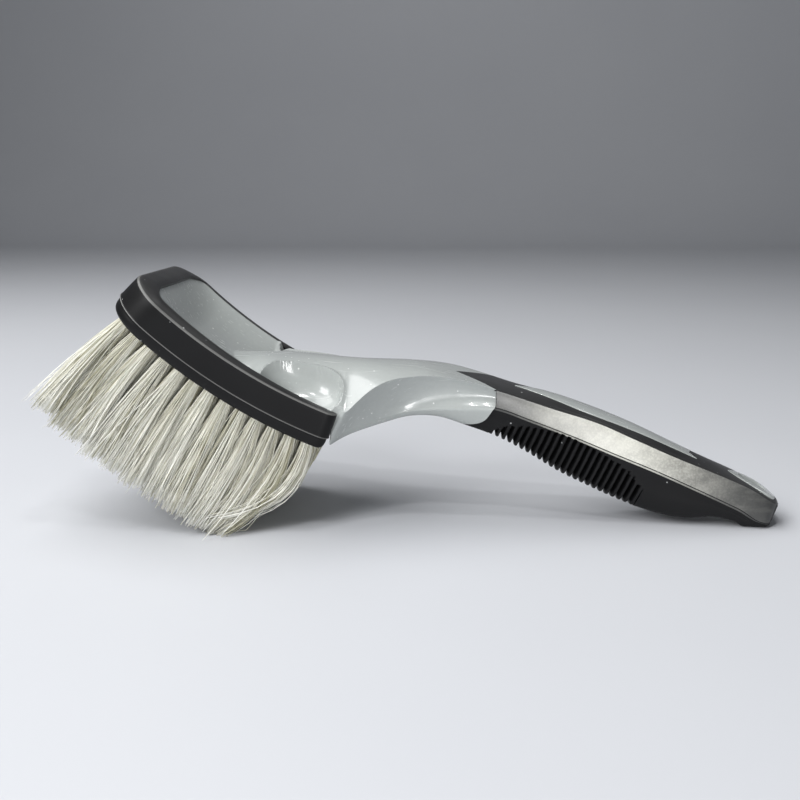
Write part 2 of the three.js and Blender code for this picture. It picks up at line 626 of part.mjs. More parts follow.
// The transverse grooves between the fins, as deep as FIN_DEPTH under the finger window's arc.
function finGrooves() {
  const arcAt = lineThrough(WINDOW_ARC);
  const keep = handleForm(GRIP_START - 6, -30, 18, FIN_DEPTH * 0.8, FIN_DEPTH);
  let grooves = null;
  for (let fin = 0; fin < FIN_COUNT; fin += 1) {
    const x = FIN_START + FIN_THICKNESS + fin * FIN_PITCH;
    const groove = new THREE.BoxGeometry(FIN_PITCH - FIN_THICKNESS, 80, 60);
    const lean = THREE.MathUtils.degToRad(20);
    const high = arcAt(x + 3);
    geometryBelow(groove, x, high, lean);
    const solid = solidOf(groove);
    grooves = grooves ? grooves.add(solid) : solid;
  }
  return grooves.subtract(keep);
}

// Moves a block so that its top face's middle is at x and z, leaning square to the grip.
function geometryBelow(geometry, x, z, lean) {
  geometry.translate(0, 0, -30);
  geometry.rotateY(lean);
  geometry.translate(x, 0, z);
}

function makeGrip(form) {
  const black = form.intersect(gripSide(0).add(gripNose(0)));
  const spineRoom = makeSpine(GAP).add(lensPosts(GAP)).add(hangHole(0));
  return black.subtract(spineRoom).subtract(finGrooves());
}

// ---- assembly ----

const brush = new THREE.Group();
const handle = handleForm(NECK_START - 1, TAIL_END + 2, 52, 0, 0);
const form = handle.intersect(tailTrim(0)).intersect(aboveBench()); // the foot is flat on the bench
brush.add(meshOf(makeCore(form), "handle_core", LIGHT_GREY));
brush.add(meshOf(makeGrip(form), "grip_overmould", GRIP_BLACK));
brush.add(meshOf(makeBumper(), "head_bumper", SOFT_BLACK));
brush.add(meshOf(makeBlock(), "bristle_block", BLOCK_BLACK));
for (let row = 0; row < TUFT_ROWS; row += 1) {
  const name = `tuft_row_${String(row + 1).padStart(2, "0")}`;
  brush.add(meshOf(makeTuftRow(row), name, FILAMENT));
}

const box = new THREE.Box3().setFromObject(brush);
const middle = box.getCenter(new THREE.Vector3());
brush.position.set(-middle.x, -middle.y, -box.min.z);

export default brush;
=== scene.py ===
"""The looks of a short-handled wheel brush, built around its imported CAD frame.

Sizes are in millimetres in the brush's own drawing frame, where x = 0 is at the foot under the tail, x runs
from the head to the tail, y across and z up from the bench. Meshes are put into Blender in metres, with x
moved so that they lie in the CAD frame.
"""

import logging  # noqa: E402
import math  # noqa: E402
from dataclasses import dataclass  # noqa: E402
from enum import Enum, IntEnum  # noqa: E402

import bpy  # noqa: E402
import numpy as np  # noqa: E402
from mathutils import Euler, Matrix, Vector  # noqa: E402


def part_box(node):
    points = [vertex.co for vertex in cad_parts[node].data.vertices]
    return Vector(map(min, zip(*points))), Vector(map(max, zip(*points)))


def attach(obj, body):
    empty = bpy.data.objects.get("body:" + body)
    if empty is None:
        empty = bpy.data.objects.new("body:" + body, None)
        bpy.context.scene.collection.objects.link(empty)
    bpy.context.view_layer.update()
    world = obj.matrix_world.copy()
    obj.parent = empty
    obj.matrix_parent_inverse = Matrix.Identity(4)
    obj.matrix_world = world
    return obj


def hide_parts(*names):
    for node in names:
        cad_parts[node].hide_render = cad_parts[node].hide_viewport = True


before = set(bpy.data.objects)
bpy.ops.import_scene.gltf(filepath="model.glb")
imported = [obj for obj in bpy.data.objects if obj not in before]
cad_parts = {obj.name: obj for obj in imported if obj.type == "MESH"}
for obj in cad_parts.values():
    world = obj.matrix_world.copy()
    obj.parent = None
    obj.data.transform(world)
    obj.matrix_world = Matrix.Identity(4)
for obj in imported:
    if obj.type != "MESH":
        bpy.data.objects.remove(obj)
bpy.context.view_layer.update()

LOG = logging.getLogger("wheel_brush")
MM = 0.001
TAIL_END = 8.6  # x of the tail's end
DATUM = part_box("grip_overmould")[1].x / MM - TAIL_END  # from drawing x to CAD x
SEED = 20


# ---- numbers and lines ----


def mix(low: np.ndarray, high: np.ndarray, share: np.ndarray) -> np.ndarray:
    """The value that lies the given share of the way from low to high."""
    return low + (high - low) * share


def smooth(x: np.ndarray, start: float, end: float) -> np.ndarray:
    """A step from 0 at start to 1 at end, level at both: 3 f^2 - 2 f^3."""
    f = np.clip((x - start) / (end - start), 0, 1)
    return f * f * (3 - 2 * f)


def soft_min(a: np.ndarray, b: np.ndarray, radius: float) -> np.ndarray:
    """The lower of two heights, with the corner between them rounded over about the radius."""
    h = np.clip(0.5 + 0.5 * (b - a) / radius, 0, 1)
    return mix(b, a, h) - radius * h * (1 - h)


def soft_max(a: np.ndarray, b: np.ndarray, radius: float) -> np.ndarray:
    """The higher of two heights, with the corner between them rounded over about the radius."""
    return -soft_min(-a, -b, radius)


@dataclass(frozen=True)
class Line:
    """A smooth line through points (x, value), level with its end values beyond them."""

    points: tuple[tuple[float, float], ...]

    def __call__(self, x: np.ndarray) -> np.ndarray:
        """The line's value at x: a cubic between two points, with the slope of their neighbours at each.

        Args:
            x: places along the line, in an array of any shape.

        Returns:
            The values, in an array of the same shape.
        """
        xs, values = np.array(self.points, float).T
        count = len(xs)
        low = np.maximum(np.arange(count) - 1, 0)
        high = np.minimum(np.arange(count) + 1, count - 1)
        slopes = (values[high] - values[low]) / (xs[high] - xs[low])
        x = np.clip(x, xs[0], xs[-1])
        i = np.clip(np.searchsorted(xs, x, side="right") - 1, 0, count - 2)
        step = xs[i + 1] - xs[i]
        f = (x - xs[i]) / step
        start = (1 + 2 * f) * (1 - f) ** 2 * values[i] + f * (1 - f) ** 2 * step * slopes[i]
        end = f * f * (3 - 2 * f) * values[i + 1] - f * f * (1 - f) * step * slopes[i + 1]
        return start + end


def path_through(points: list[tuple[float, float]], steps: int) -> np.ndarray:
    """A smooth open path through plane points, as a Catmull-Rom curve.

    Args:
        points: the plane points that the path passes.
        steps: how many pieces each span is cut into.

    Returns:
        The path's points, shaped (n, 2).
    """
    p = np.array(points, float)
    p = np.vstack([2 * p[0] - p[1], p, 2 * p[-1] - p[-2]])
    f = np.linspace(0, 1, steps, endpoint=False)[None, :, None]
    a, b, c, d = (p[i : len(p) - 3 + i, None, :] for i in range(4))
    curve = b + 0.5 * f * (c - a + f * (2 * a - 5 * b + 4 * c - d + f * (3 * (b - c) + d - a)))
    return np.vstack([curve.reshape(-1, 2), p[-2]])


def quarter_round(left: np.ndarray, radius: float) -> np.ndarray:
    """How far a rounded end lies inside a square one, where so much is left to the end."""
    return radius - np.sqrt(np.maximum(radius**2 - np.clip(radius - left, 0, None) ** 2, 0))


def spline_weights(f: np.ndarray) -> np.ndarray:
    """The weights of the three control points of a quadratic B-spline's span, at the share f of it."""
    return np.stack([0.5 * (1 - f) ** 2, 0.5 + f - f * f, 0.5 * f * f])


def rounded_outline(controls: list[tuple], steps: int) -> tuple[np.ndarray, np.ndarray]:
    """A quadratic B-spline on rows of control points: it is tight where they are close together.

    Args:
        controls: each control point's y and z, as numbers or as arrays shaped (stations, 1).
        steps: how many pieces each span is cut into.

    Returns:
        The curve's y and z, with the stations first and the places on the curve last.
    """
    values = np.broadcast_arrays(*[value for control in controls for value in control])
    weights = spline_weights(np.arange(steps) / steps)
    spans = len(controls) - 2

    def curve(rows: list[np.ndarray]) -> np.ndarray:
        """The curve of one coordinate."""
        row = np.concatenate(rows, -1)
        parts = np.stack([row[:, i : i + spans] for i in range(3)], -1)
        return (parts @ weights).reshape(len(row), spans * steps)

    return curve(values[::2]), curve(values[1::2])


# ---- meshes ----


@dataclass
class Skin:
    """Points in millimetres and the faces between them, as arrays of corner numbers of one length each."""

    points: np.ndarray
    faces: list[np.ndarray]
    paint: np.ndarray | None = None  # the material number of each face of the first array

    def volume(self) -> float:
        """The volume inside the skin, negative when its faces point inwards."""
        total = 0.0
        for face in self.faces:
            corner = self.points[face]
            for i in range(1, face.shape[1] - 1):
                cross = np.cross(corner[:, i], corner[:, i + 1])
                total += float(np.einsum("ij,ij->", corner[:, 0], cross)) / 6
        return total

    @staticmethod
    def joined(skins: list["Skin"]) -> "Skin":
        """One skin of many that have the same kinds of faces."""
        starts = np.cumsum([0] + [len(skin.points) for skin in skins])
        faces = [
            np.vstack([skin.faces[kind] + start for skin, start in zip(skins, starts)])
            for kind in range(len(skins[0].faces))
        ]
        return Skin(np.vstack([skin.points for skin in skins]), faces)

    def outward(self) -> "Skin":
        """The same skin with its faces pointing outwards."""
        if self.volume() >= 0:
            return self
        return Skin(self.points, [face[:, ::-1] for face in self.faces], self.paint)

    def object(self, name: str) -> bpy.types.Object:
        """A Blender object of this skin, in metres in the CAD frame, linked to the scene.

        Args:
            name: the object's and the mesh's name.

        Returns:
            The object.
        """
        skin = self.outward()
        mesh = bpy.data.meshes.new(name)
        metres = (skin.points + np.array([DATUM, 0, 0])) * MM
        mesh.vertices.add(len(metres))
        mesh.vertices.foreach_set("co", metres.astype(np.float32).ravel())
        corners = np.concatenate([face.ravel() for face in skin.faces]).astype(np.int32)
        sizes = np.concatenate([np.full(len(face), face.shape[1]) for face in skin.faces])
        mesh.loops.add(len(corners))
        mesh.loops.foreach_set("vertex_index", corners)
        mesh.polygons.add(len(sizes))
        starts = np.concatenate([[0], np.cumsum(sizes)[:-1]]).astype(np.int32)
        mesh.polygons.foreach_set("loop_start", starts)
        if skin.paint is not None:
            paint = np.zeros(len(sizes), np.int32)
            paint[: len(skin.paint)] = skin.paint
            mesh.polygons.foreach_set("material_index", paint)
        mesh.update(calc_edges=True)
        made = bpy.data.objects.new(name, mesh)
        bpy.context.scene.collection.objects.link(made)
        return made


def grid_faces(along: int, around: int, closed: bool = True) -> np.ndarray:
    """The four-cornered faces of a grid of points, numbered row by row.

    Args:
        along: rows of points.
        around: points in each row.
        closed: whether each row's last point joins its first.

    Returns:
        The corner numbers, shaped (faces, 4).
    """
    low = np.arange(along - 1)[:, None] * around
    high = low + around
    j = np.arange(around if closed else around - 1)[None, :]
    j2 = (j + 1) % around
    return np.stack([low + j, low + j2, high + j2, high + j], -1).reshape(-1, 4)


def loft(rings: np.ndarray, paint: np.ndarray | None = None) -> Skin:
    """A closed skin over rings of points, with a fan over each end.

    Args:
        rings: the points, shaped (stations, around, 3).
        paint: a material number for each face of the rings, shaped (stations - 1, around), or None.

    Returns:
        The skin.
    """
    along, around = rings.shape[:2]
    points = np.vstack([rings.reshape(-1, 3), rings[0].mean(0), rings[-1].mean(0)])
    quads = grid_faces(along, around)
    j = np.arange(around)
    last = (along - 1) * around
    front = np.stack([(j + 1) % around, j, np.full(around, along * around)], -1)
    back = np.stack([last + j, last + (j + 1) % around, np.full(around, along * around + 1)], -1)
    painted = None if paint is None else paint.ravel()
    return Skin(points, [quads, front, back], painted)


def mirrored(y: np.ndarray, z: np.ndarray) -> tuple[np.ndarray, np.ndarray]:
    """The full ring of a section given as half an outline, from its top middle to its bottom middle."""
    return (
        np.concatenate([y, -y[..., -2:0:-1]], -1),
        np.concatenate([z, z[..., -2:0:-1]], -1),
    )


def prism(outline: np.ndarray, low: float, high: float, across: bool) -> Skin:
    """A plane outline swept straight.

    Args:
        outline: its points, shaped (n, 2): x and z when swept across the brush, else x and y when raised.
        low: where the sweep starts.
        high: where it ends.
        across: whether it is swept across the brush instead of upwards.

    Returns:
        The skin.
    """
    count = len(outline)
    rows = []
    for level in (low, high):
        flat = np.full(count, level)
        columns = (outline[:, 0], flat, outline[:, 1]) if across else (outline[:, 0], outline[:, 1], flat)
        rows.append(np.stack(columns, -1))
    walls = grid_faces(2, count)
    caps = np.array([np.arange(count)[::-1], count + np.arange(count)])
    return Skin(np.vstack(rows), [walls, caps])


class Cut(Enum):
    """How one solid changes another."""

    TAKE_AWAY = "DIFFERENCE"
    JOIN = "UNION"
    KEEP_COMMON = "INTERSECT"


def combine(piece: bpy.types.Object, other: bpy.types.Object, how: Cut) -> bpy.types.Object:
    """Changes a solid by another one, and leaves the result in its mesh.

    Args:
        piece: the solid that is changed.
        other: the solid that changes it, which is used up.
        how: taken away, joined or kept in common.

    Returns:
        The changed piece.
    """
    modifier = piece.modifiers.new("combine", "BOOLEAN")
    modifier.operation = how.value
    modifier.solver = "MANIFOLD"
    modifier.object = other
    graph = bpy.context.evaluated_depsgraph_get()
    made = bpy.data.meshes.new_from_object(piece.evaluated_get(graph))
    piece.modifiers.clear()
    old = piece.data
    made.name = old.name
    if len(made.polygons) == 0:
        raise RuntimeError(f"{piece.name}: nothing is left after {how.name}")
    piece.data = made
    bpy.data.meshes.remove(old)
    bpy.data.objects.remove(other)
    return piece


def shade(piece: bpy.types.Object, angle: float = 32) -> None:
    """Shades a piece smooth, with edges sharper than the angle in degrees left crisp."""
    piece.data.shade_smooth()
    piece.data.set_sharp_from_angle(angle=math.radians(angle))


def wear(piece: bpy.types.Object, *materials: bpy.types.Material) -> None:
    """Appends materials to a piece, in the order of its paint numbers."""
    for material in materials:
        piece.data.materials.append(material)


def place(piece: bpy.types.Object, node: str, material: bpy.types.Material | None = None) -> None:
    """Ties a finished piece to the CAD frame.

    Args:
        piece: the finished piece.
        node: the CAD node that it stands for.
        material: its one material, or None where it wears its materials already.
    """
    if material:
        piece.data.materials.clear()
        wear(piece, material)
    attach(piece, "root")
    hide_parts(node)
    LOG.info("%s: %d faces", piece.name, len(piece.data.polygons))


# ---- shader graphs ----


class Wire:
    """A node's output that can be used in arithmetic, which adds Math nodes."""

    def __init__(self, graph: "Graph", socket: bpy.types.NodeSocket) -> None:
        """Wraps a socket of a graph."""
        self.graph = graph
        self.socket = socket

    def math(self, operation: str, first: object, second: object = None, clamp: bool = False) -> "Wire":
        """A Math node on one or two values, each a wire or a number."""
        inputs = {0: first} if second is None else {0: first, 1: second}
        return self.graph.node("ShaderNodeMath", {"operation": operation, "use_clamp": clamp}, inputs)

    def __add__(self, other: object) -> "Wire":
        """The sum."""
        return self.math("ADD", self, other)

    def __radd__(self, other: object) -> "Wire":
        """The sum, with a number on the left."""
        return self.math("ADD", other, self)

    def __sub__(self, other: object) -> "Wire":
        """The difference."""
        return self.math("SUBTRACT", self, other)

    def __rsub__(self, other: object) -> "Wire":
        """The difference, with a number on the left."""
        return self.math("SUBTRACT", other, self)

    def __mul__(self, other: object) -> "Wire":
        """The product."""
        return self.math("MULTIPLY", self, other)

    def above(self, edge: float, width: float) -> "Wire":
        """A soft step from 0 to 1 over the width, centred on the edge."""
        return self.math("ADD", (self - edge) * (1 / width), 0.5, clamp=True)


class Graph:
    """The node graph of one material."""

    def __init__(self, name: str) -> None:
        """Makes the material with a Principled shader."""
        self.material = bpy.data.materials.new(name)
        self.material.use_nodes = True
        self.nodes = self.material.node_tree.nodes
        self.shader = self.nodes["Principled BSDF"]
        self.place = self.node("ShaderNodeTexCoord", {}, {}, "Object")

    def set(self, socket: bpy.types.NodeSocket, value: object) -> None:
        """Links a wire to an input, or puts a number or a colour in it."""
        if isinstance(value, Wire):
            self.material.node_tree.links.new(value.socket, socket)
        else:
            socket.default_value = value

    def node(self, kind: str, settings: dict, inputs: dict, out: int | str = 0) -> Wire:
        """Adds any node.

        Args:
            kind: the node's type.
            settings: its settings by name.
            inputs: values or wires by the input's name or number.
            out: the name or number of the output that is wanted.

        Returns:
            That output.
        """
        made = self.nodes.new(kind)
        for key, value in settings.items():
            setattr(made, key, value)
        for key, value in inputs.items():
            self.set(made.inputs[key], value)
        return Wire(self, made.outputs[out])

    def noise(self, scale: float, detail: float = 3, stretch: tuple[float, float, float] = (1, 1, 1)) -> Wire:
        """Noise from 0 to 1 with so many features a metre, stretched by scaling its coordinates."""
        vector = self.place
        if stretch != (1, 1, 1):
            vector = self.node("ShaderNodeMapping", {}, {"Vector": self.place, "Scale": stretch})
        inputs = {"Vector": vector, "Scale": scale, "Detail": detail, "Roughness": 0.55}
        return self.node("ShaderNodeTexNoise", {}, inputs)

    def specks(self, scale: float, size: float) -> Wire:
        """Sparse round specks: 1 within a random small distance of a cell's point, else 0."""
        cells = {"Vector": self.place, "Scale": scale}
        distance = self.node("ShaderNodeTexVoronoi", {}, cells, "Distance")
        colour = self.node("ShaderNodeTexVoronoi", {}, cells, "Color")
        reach = self.node("ShaderNodeSeparateColor", {}, {0: colour}, "Red")
        return 1 - (distance - (reach - 0.45) * size).above(0.0, size * 0.25)

    def blend(self, share: object, first: object, second: object) -> Wire:
        """The first colour, with a share of the second over it."""
        settings = {"data_type": "RGBA"}
        return self.node("ShaderNodeMix", settings, {0: share, 6: first, 7: second}, 2)

    def bump(self, height: Wire, strength: float, distance: float) -> Wire:
        """The normal of a height, with the distance in millimetres that a height of 1 stands for."""
        inputs = {"Height": height, "Strength": strength, "Distance": distance * MM}
        return self.node("ShaderNodeBump", {}, inputs)

    def finish(self, **inputs: object) -> bpy.types.Material:
        """Sets the shader's inputs, named with underscores for spaces, and returns the material."""
        for key, value in inputs.items():
            self.set(self.shader.inputs[key.replace("_", " ")], value)
        return self.material


Colour = tuple[float, float, float, float]


def tint(red: float, green: float, blue: float) -> Colour:
    """A linear colour from display values of 0 to 255."""
    display = np.array([red, green, blue]) / 255
    linear = np.where(display <= 0.04045, display / 12.92, ((display + 0.055) / 1.055) ** 2.4)
    return (*(float(v) for v in linear), 1.0)


@dataclass(frozen=True)
class GlossyPlastic:
    """Light grey hard plastic: an even gloss, faint flow marks, fine scratches and a little dust."""

    name: str = "light_grey_plastic"
    base: Colour = tint(176, 180, 178)
    shadow: Colour = tint(158, 163, 161)
    dust: Colour = tint(232, 233, 231)
    roughness: float = 0.17

    def material(self) -> bpy.types.Material:
        """The material."""
        g = Graph(self.name)
        flow = g.noise(45, 4, (0.35, 1, 1))
        grain = g.noise(1800, 2)
        scratch = g.noise(900, 2, (0.03, 1, 0.6)).above(0.66, 0.06) * g.noise(60, 2).above(0.52, 0.2)
        dust = g.specks(320, 0.2)
        mottle = g.noise(700, 5).above(0.5, 0.3)
        colour = g.blend(flow * 0.65 + mottle * 0.16, self.base, self.shadow)
        colour = g.blend(dust * 0.75 + scratch * 0.12, colour, self.dust)
        rough = self.roughness + flow * 0.08 + mottle * 0.025 + grain * 0.04 + scratch * 0.16 + dust * 0.35
        height = g.noise(95, 2) * 7.0 + g.noise(330, 3) * 0.6 + grain * 0.1 + scratch * -0.15 + dust * 0.7
        return g.finish(
            Base_Color=colour, Roughness=rough, Coat_Weight=0.4, Coat_Roughness=0.05,
            Specular_IOR_Level=0.55, Normal=g.bump(height, 0.35, 0.07),
        )


@dataclass(frozen=True)
class SoftRubber:
    """Black soft-touch rubber: a fine matt grain, cloudy rubbed patches and pale dust."""

    name: str
    base: Colour
    rubbed: Colour
    roughness: float
    dust: Colour = tint(196, 198, 198)
    grain: float = 1.0
    specks: float = 0.18
    shine: float = 0.22

    def material(self) -> bpy.types.Material:
        """The material."""
        g = Graph(self.name)
        cloud = g.noise(55, 4)
        grain = g.noise(2600, 2)
        rub = g.noise(24, 3, (0.5, 1, 1)).above(0.52, 0.25)
        dust = g.specks(260, self.specks)
        colour = g.blend(rub * 0.55 + grain * 0.3, self.base, self.rubbed)
        colour = g.blend(dust * 0.8, colour, self.dust)
        rough = self.roughness + cloud * 0.12 - rub * 0.07 + grain * 0.08 + dust * 0.3
        height = grain * (0.5 * self.grain) + g.noise(420, 3) * 0.4 + dust * 0.8
        return g.finish(
            Base_Color=colour, Roughness=rough, Specular_IOR_Level=self.shine,
            Normal=g.bump(height, 0.4, 0.06),
        )


@dataclass(frozen=True)
class BandWithPaintedSheen:
    """The flat side bands of the grip, rubbed shiny: pale scuffs and streaks, and a painted silvery
    reflection mid-way.
    """

    name: str = "band_scuffs_and_painted_sheen"
    # base: a lighter black than the grip's body all along the band, partly wear and partly painted sheen
    base: Colour = tint(40, 41, 42)
    painted_sheen: Colour = tint(208, 207, 196)
    scuff_and_sheen: Colour = tint(232, 231, 220)
    roughness: float = 0.3
    painted_sheen_at: float = -53  # x where the painted reflection is strongest
    painted_sheen_half: float = 30

    def material(self) -> bpy.types.Material:
        """The material."""
        g = Graph(self.name)
        x = g.node("ShaderNodeSeparateXYZ", {}, {0: g.place}, "X")
        offset = (x - (self.painted_sheen_at + DATUM) * MM) * (1 / (self.painted_sheen_half * MM))
        # middle weights the painted reflection: 1 where it is strongest, falling off as a bell along x
        middle = g.node("ShaderNodeMath", {"operation": "EXPONENT"}, {0: offset * offset * -1.2})
        cloud = g.noise(120, 4, (0.6, 1, 1))
        streak = g.noise(420, 3, (0.12, 1, 1.2)).above(0.56, 0.2)
        mottle = g.noise(1300, 5).above(0.53, 0.16) * middle
        patch = g.noise(150, 3, (0.7, 1, 1)).above(0.5, 0.14) * middle
        dust = g.specks(220, 0.12)
        # painted reflection: the band lightens towards the sheen colour mid-way along
        colour = g.blend(middle * (0.52 + cloud * 0.5), self.base, self.painted_sheen)
        # pale patches inside the painted reflection (weighted by middle), and real streaks and dust all along
        colour = g.blend(mottle * 0.3 + patch * 0.35 + streak * 0.035 + dust * 0.7, colour, self.scuff_and_sheen)
        rough = self.roughness + cloud * 0.14 + streak * 0.04 + mottle * 0.15 + dust * 0.25
        height = g.noise(700, 3) * 0.3 + streak * 0.1 + mottle * 0.3 + dust * 0.6
        return g.finish(
            Base_Color=colour, Roughness=rough, Specular_IOR_Level=0.7, Coat_Weight=middle * 0.5,
            Coat_Roughness=0.25, Normal=g.bump(height, 0.3, 0.05),
        )


@dataclass(frozen=True)
class Filament:
    """Cream nylon filament: each strand its own tone, paler and drier towards its frayed tip."""

    name: str = "filament"
    root: Colour = tint(246, 245, 232)
    tip: Colour = tint(253, 253, 247)
    tone: Colour = tint(172, 168, 140)
    roughness: float = 0.24

    def material(self) -> bpy.types.Material:
        """The material."""
        g = Graph(self.name)
        reach = g.node("ShaderNodeAttribute", {"attribute_name": "reach"}, {}, "Fac")
        tone = g.node("ShaderNodeAttribute", {"attribute_name": "tone"}, {}, "Fac")
        cloud = g.noise(90, 3)
        colour = g.blend(reach, self.root, self.tip)
        colour = g.blend(tone * tone + cloud * 0.1, colour, self.tone)
        rough = self.roughness + tone * 0.14 + reach * 0.12
        height = g.noise(3000, 2)
        return g.finish(
            Base_Color=colour, Roughness=rough, Specular_IOR_Level=0.8, Normal=g.bump(height, 0.2, 0.01)
        )


@dataclass(frozen=True)
class PaleFloor:
    """A plain pale painted surface with a very fine grain."""

    name: str = "pale_floor"
    base: Colour = tint(206, 208, 212)
    other: Colour = tint(199, 201, 206)

    def material(self) -> bpy.types.Material:
        """The material."""
        g = Graph(self.name)
        colour = g.blend(g.noise(3, 3), self.base, self.other)
        rough = 0.5 + g.noise(8, 3) * 0.1
        return g.finish(Base_Color=colour, Roughness=rough, Normal=g.bump(g.noise(1200, 2), 0.1, 0.05))


# ---- the bowed head frame ----


@dataclass(frozen=True)
class Bow:
    """The head's frame: u along the arc of its top ridge, v across, t the depth below the ridge."""

    slope: float = math.radians(33.1)
    middle: tuple[float, float] = (-193.1, 64.8)
    radius: float = 195
    toe: float = 45.4
    heel: float = 43.1
    width: float = 67
    side_margin: float = 4.6
    toe_margin: float = 8.5
    crown: float = 1.6

    @property
    def centre(self) -> tuple[float, float]:
        """The arc's centre in x and z, above the head."""
        return (
            self.middle[0] + self.radius * math.sin(self.slope),
            self.middle[1] + self.radius * math.cos(self.slope),
        )

    def at(self, u: np.ndarray, v: np.ndarray, t: np.ndarray) -> np.ndarray:
        """The points at u, v and t: on a circle of the radius plus t, turned by u over the radius."""
        turn = u / self.radius - self.slope
        x = self.centre[0] + (self.radius + t) * np.sin(turn)
        z = self.centre[1] - (self.radius + t) * np.cos(turn)
        return np.stack(np.broadcast_arrays(x, v, z), -1)

    def height(self, x: np.ndarray, t: np.ndarray) -> np.ndarray:
        """The height at which the arc of depth t passes over x."""
        return self.centre[1] - np.sqrt((self.radius + t) ** 2 - (x - self.centre[0]) ** 2)

    def along(self, x: np.ndarray) -> np.ndarray:
        """The u of the ridge point over x."""
        return self.radius * (self.slope + np.arcsin((x - self.centre[0]) / self.radius))

    def share(self, u: np.ndarray) -> np.ndarray:
        """How far u is from the toe end to the heel end, from 0 to 1."""
        return (u + self.toe) / (self.toe + self.heel)

    def rise(self, u: np.ndarray) -> np.ndarray:
        """How far the margin stands above the ridge: most at the toe and nothing at the heel."""
        return self.crown * 1.5 * (1 - self.share(u))

    def half_width(self, u: np.ndarray, half: float, start: float, radius: float) -> np.ndarray:
        """Half the width in plan of a piece whose toe end has rounded corners."""
        return half - quarter_round(u - start, radius)


# ---- the handle's outer form ----


def line(*points: tuple[float, float]) -> Line:
    """The smooth line through the points."""
    return Line(points)


class Paint(IntEnum):
    """The paint numbers of the grip's faces."""

    BODY = 0
    # the side bands, which carry a painted reflection
    BAND = 1
    # the crowned top, in a lighter copy of the rubber that paints light on it
    TOP = 2


